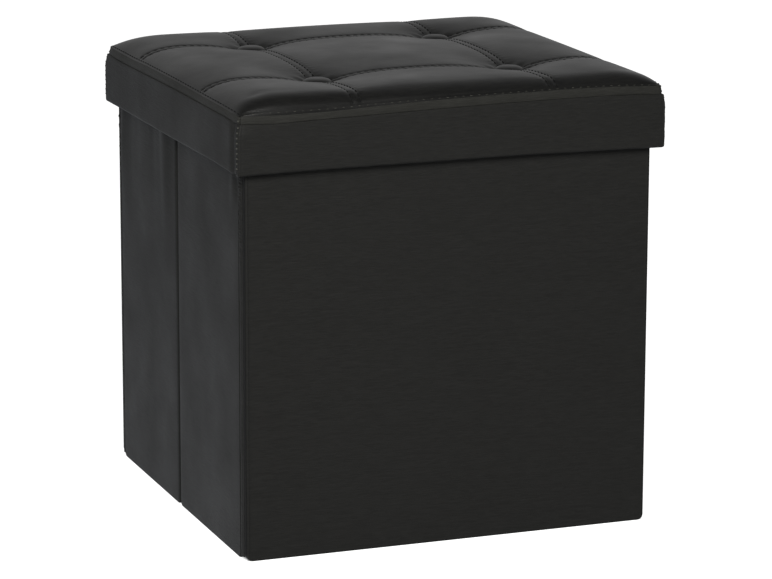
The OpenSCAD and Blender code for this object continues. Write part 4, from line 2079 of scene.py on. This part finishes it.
    def _swell(self, pad: Piece) -> tuple[Array, Array]:
        """Simulates the pressure of the foam under the sewn skin.

        Args:
            pad: The closed pad at rest.

        Returns:
            The pad's places at rest and how far each one moves.
        """
        take(pad)
        bpy.ops.object.duplicate()
        cloth = bpy.context.object
        rest = points(cloth)
        sewn = cloth.vertex_groups.new(name="sewn")
        x, y, z = rest.T
        across, along = np.abs(x - self.off_centre[0]), np.abs(y - self.off_centre[1])
        rows = np.minimum(np.abs(across - self.pitch_x), np.abs(along - self.pitch_y))
        buttons = np.hypot(across - self.pitch_x, along - self.pitch_y)
        hold = self.row_hold * bump(rows, self.row_hold_w)
        hold = np.maximum(hold, 1 - ease(buttons, *self.button_hold))
        hold = np.maximum(hold, 1 - ease(z - self.seam_z, *self.edge_hold))
        for index, weight in enumerate(hold.tolist()):
            sewn.add([index], weight, "REPLACE")
        modifier = cloth.modifiers.new("Cloth", "CLOTH")
        settings = modifier.settings
        settings.vertex_group_mass = "sewn"
        settings.use_pressure = True
        settings.uniform_pressure_force = self.pressure
        settings.effector_weights.gravity = 0.0
        settings.quality = 6
        scene = bpy.context.scene
        for step in range(self.swell_steps):
            scene.frame_set(step + 1)
        take(cloth)
        bpy.ops.object.modifier_apply(modifier=modifier.name)
        moved = points(cloth) - rest
        scene.frame_set(1)
        bpy.data.objects.remove(cloth)
        far = np.linalg.norm(moved, axis=1, keepdims=True)
        moved *= np.minimum(1, self.swell_cap / np.maximum(far, 1e-6))
        log.info("cushion swell: up to %.1f mm", float(far.max()))
        return rest, moved

    @staticmethod
    def _carry(shape: Array, rest: Array, moved: Array) -> Array:
        """Moves a fine skin as the coarse pad under it moved.

        Args:
            shape: The skin's places.
            rest: The pad's places at rest.
            moved: How far each of them moves.

        Returns:
            The skin's new places.
        """
        neighbours, least_distance, rounds = 6, 0.8, 4
        tree = KDTree(len(rest))
        for index, place in enumerate(rest):
            tree.insert(place, index)
        tree.balance()
        offset = np.zeros_like(shape)
        for row, column in np.ndindex(*shape.shape[:2]):
            found = tree.find_n(shape[row, column], neighbours)
            weights = np.array([1 / (distance + least_distance) ** 2 for _, _, distance in found])
            near = moved[[index for _, index, _ in found]]
            offset[row, column] = weights @ near / weights.sum()
        for _ in range(rounds):
            beside = offset[:-2, 1:-1] + offset[2:, 1:-1] + offset[1:-1, :-2] + offset[1:-1, 2:]
            offset[1:-1, 1:-1] = (beside + 4 * offset[1:-1, 1:-1]) / 8
        return shape + offset

    def _core(self, pad: Piece) -> None:
        """Shrinks the pad to the foam inside the skin.

        Args:
            pad: The pad at rest.
        """
        with editing(pad, Element.VERTEX):
            bpy.ops.mesh.select_all(action="SELECT")
            bpy.ops.transform.shrink_fatten(value=-self.foam_inset * MM)
        shape = points(pad)
        shape[:, 2] = np.maximum(shape[:, 2], self.foot + self.foam_gap)
        set_points(pad, shape)
        smooth(pad, 60.0)
        finish_piece(pad, self.finishes.foam, "foam", "lid", "cushion_foam")

    def _stitch(self, shape: Array, normals: Array, x: Array, y: Array) -> None:
        """Sews two rows of stitches on each line of the quilting, and one row along each edge.

        Args:
            shape: The skin's places.
            normals: Its normals.
            x: Its plan places along the width.
            y: Its plan places along the depth.
        """
        seam = Seam(pitch=self.stitch_pitch, length=3.9, thread=1.0, sunk=0.3)
        places = []
        sides = (
            (shape, normals, x[0], self.pitch_x, self.off_centre[0]),
            (shape.swapaxes(0, 1), normals.swapaxes(0, 1), y[:, 0], self.pitch_y, self.off_centre[1]),
        )
        for grid, upright, stops, pitch, off in sides:
            for sign in (-1, 1):
                for row in (-1, 1):
                    place = off + sign * pitch + row * self.row_gap / 2
                    path, normal = self._line(grid, stops, place), self._line(upright, stops, place)
                    places += self._clear(seam.places(path[3:-3], normal[3:-3]))
        rows = repeat("cushion_row_stitches", seam.template(), places)
        finish_piece(rows, self.finishes.thread, "cushion_vinyl", "lid")
        dashes = Seam(pitch=self.stitch_pitch, length=3.8, thread=1.0, sunk=0.25)
        flecks = Seam(pitch=self.edge_pitch, length=2.1, thread=0.45, sunk=0.3)
        edges = (
            ("side", dashes, 1.0, self.finishes.thread),
            # The front edge flecks use the paler thread, which stands in for glints: painted highlight.
            ("front", flecks, 0.45, self.finishes.painted_glint_thread),
        )
        for (grid, upright, stops, *_), (name, seam, inset, finish) in zip(sides, edges):
            places = []
            for place in (stops[0] + inset, stops[-1] - inset):
                path, normal = self._line(grid, stops, place), self._line(upright, stops, place)
                places += seam.places(path[4:-4], normal[4:-4])
            stitches = repeat(f"cushion_{name}_edge_stitches", seam.template(), places)
            finish_piece(stitches, finish, "cushion_vinyl", "lid")

    @staticmethod
    def _line(grid: Array, stops: Array, place: float) -> Array:
        """The column of a grid at a place between two of its columns."""
        index = min(max(int(np.searchsorted(stops, place)) - 1, 0), len(stops) - 2)
        share = (place - stops[index]) / (stops[index + 1] - stops[index])
        return grid[:, index] * (1 - share) + grid[:, index + 1] * share

    def _clear(self, places: list[Matrix]) -> list[Matrix]:
        """Leaves out the stitches that would lie under a button.

        Args:
            places: Where the stitches of a row lie, in metres.

        Returns:
            The ones to keep.
        """
        kept = []
        for place in places:
            spot = place.translation / MM
            away = min(float(np.hypot(dx, dy)) for dx, dy in self._spots(spot.x, spot.y))
            if away > self.button_r + self.button_gap:
                kept.append(place)
        return kept

    def _band(self) -> None:
        """The narrow band between the cushion's edge seam and the skirt."""
        inset = self.edge_inset
        places, normals, corner, around = Ring(
            self.half_w + inset, self.half_d + inset, self.band_corner_r
        ).stations()
        x, y = places.T
        share = np.concatenate([[0.0], np.linspace(0, 1, 11), [1.0]])
        out = -self.band_set_back - self.band_lean * share + self.band_bow * np.sin(share * math.pi)
        out[[0, -1]] = -self.band_turn
        foot = self.foot - self.band_lap + RIM_SEAM.rise(x, y)
        head = self.seam_z - self.band_set_back + EDGE_SEAM.rise(x, y)
        low_pull = RIM_SEAM.draw_in(x, y, self.half_w, self.half_d)
        high_pull = EDGE_SEAM.draw_in(x, y, self.half_w, self.half_d)
        pull = low_pull + (high_pull - low_pull) * share[:, None]
        groove = self.band_groove * bump(corner, self.band_groove)[None, :]
        wave = self.band_wave * ripple(around, self.band_wave_pitch, 31)[None, :]
        wave = wave * np.sin(share * math.pi)[:, None]
        reach = out[:, None] - groove + wave
        height = foot + (head - foot) * share[:, None]
        shape = ring_surface(x, y, normals, reach, (pull, pull), height)
        band = grid_piece("cushion_edge_band", shape, closed=True)
        LidSkirt.face_out(band)
        thicken(band, self.band_t)
        smooth(band, 50.0)
        # The band's leather is painted paler as the light its face catches: painted light.
        finish_piece(band, self.finishes.band, "vinyl", "lid", "cushion_band")
        corner_stitches("band_corner_stitches", shape[1:-1], normals, corner, self.finishes)

    def _buttons(self, shape: Array) -> None:
        """Makes four buttons covered in the cushion's own leather, gathered underneath.

        Args:
            shape: The skin's places, which the buttons sit down on.
        """
        radius, up, down, sunk = self.button_r + self.button_over, 4.4, 2.6, 0.6
        flat = shape.reshape(-1, 3)
        for index, (sx, sy) in enumerate(((-1, -1), (1, -1), (-1, 1), (1, 1))):
            centre = (self.off_centre[0] + sx * self.pitch_x, self.off_centre[1] + sy * self.pitch_y)
            near = np.hypot(flat[:, 0] - centre[0], flat[:, 1] - centre[1]) < 8.0
            seat = float(flat[near, 2].mean())
            add, name = bpy.ops.mesh.primitive_uv_sphere_add, f"tufting_button_{index + 1}"
            button = start_from(add, name, segments=48, ring_count=24, radius=1 * MM)
            unit = points(button)
            angle = np.arctan2(unit[:, 1], unit[:, 0])
            pleats = 1 + self.pleat_depth * np.cos(self.pleats * angle + index) * (unit[:, 2] < 0.35)
            reach = radius * np.hypot(unit[:, 0], unit[:, 1]) ** 0.75 * pleats
            height = np.where(unit[:, 2] > 0, up, down) * unit[:, 2] + down - sunk
            places = np.stack([np.cos(angle) * reach, np.sin(angle) * reach, height], axis=1)
            set_points(button, places + (*centre, seat))
            smooth(button, 60.0)
            finish_piece(button, self.finishes.button, "button_vinyl", "lid", "tufting_buttons")


# ---- base


@dataclass
class Base:
    """The loose base board with its cloth and ribbon (mm)."""

    finishes: Finishes
    edge_r: float = 0.8
    cloth_t: float = 0.3
    waviness: float = 0.2
    ribbon_bow: float = 0.35

    def build(self) -> None:
        """Builds the cloth and the ribbon."""
        self._cloth()
        self._ribbon()

    def _cloth(self) -> None:
        """Lining stretched over the board, with soft edges."""
        low, high = box_mm("base_cloth")
        size = high - low
        cloth = solid_block("base_cover_cloth", size, (low + high) / 2)
        open_side(cloth, lambda middle, normal: normal.z < -UPRIGHT)
        top = (high[2] - SAME_PLACE) * MM
        round_edges(cloth, lambda middle, way: middle.z > top or abs(way.z) > UPRIGHT, self.edge_r, 2)
        for axis in (0, 1):
            cut_across(cloth, axis, np.linspace(low[axis] + 8, high[axis] - 8, 30))
        shape = points(cloth)
        inside = ease((size[:2] / 2 - np.abs(shape[:, :2])).min(axis=1), 2, 30)
        level = shape[:, 2] > high[2] - self.waviness
        shape[:, 2] += level * inside * self.waviness * ripple(shape[:, 0] + 0.5 * shape[:, 1], 70.0, 41)
        set_points(cloth, shape)
        thicken(cloth, self.cloth_t)
        smooth(cloth)
        finish_piece(cloth, self.finishes.lining, "lining", "base", "base_cloth")

    def _ribbon(self) -> None:
        """The folded pull tab: two layers of ribbon with a rounded fold."""
        low, high = box_mm("pull_tab")
        width, length = (high - low)[:2]
        middle = (low + high) / 2
        along = np.linspace(0, 1, 36)
        across = np.linspace(-1, 1, 15)
        u, v = np.meshgrid(across, along)
        end = np.clip((v * length - (length - width / 2)) / (width / 2), 0, 1)
        half = width / 2 * np.sqrt(np.clip(1 - end**2, 0.02, 1))
        x = middle[0] + u * half
        y = low[1] + v * length
        z = high[2] + self.ribbon_bow * np.sin(v * math.pi) * (1 - 0.5 * u**2)
        ribbon = grid_piece("base_pull_ribbon", np.stack([x, y, z], axis=-1))
        thicken(ribbon, float((high - low)[2]) * 0.9)
        smooth(ribbon)
        finish_piece(ribbon, self.finishes.ribbon, "ribbon", "base", "pull_tab")


@dataclass
class Workings:
    """The CAD pieces that show as they are, under their own finishes."""

    finishes: Finishes

    def dress(self) -> None:
        """Gives each carried-over piece its finish."""
        dressed = (
            ("base_board", self.finishes.hardboard, "hardboard"),
            ("skirt_lining", self.finishes.lining, "lining"),
            ("button_twine", self.finishes.twine, "twine"),
            ("twine_washers", self.finishes.zinc, "washer_steel"),
            ("skirt_staples", self.finishes.wire, "staple_steel"),
        )
        for node, material, slot in dressed:
            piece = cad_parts[node]
            paint(piece, material)
            log.info("%s: kept, in %s", piece.name, material.name)


def main() -> None:
    """Builds the ottoman's looks and the studio round it."""
    logging.basicConfig(level=logging.INFO, format="%(name)s %(message)s")
    Studio().build()
    finishes = Finishes()
    Shell(finishes).build()
    LidSkirt(finishes).build()
    Cushion(finishes).build()
    Base(finishes).build()
    Workings(finishes).dress()


if __name__ == "__main__":
    main()
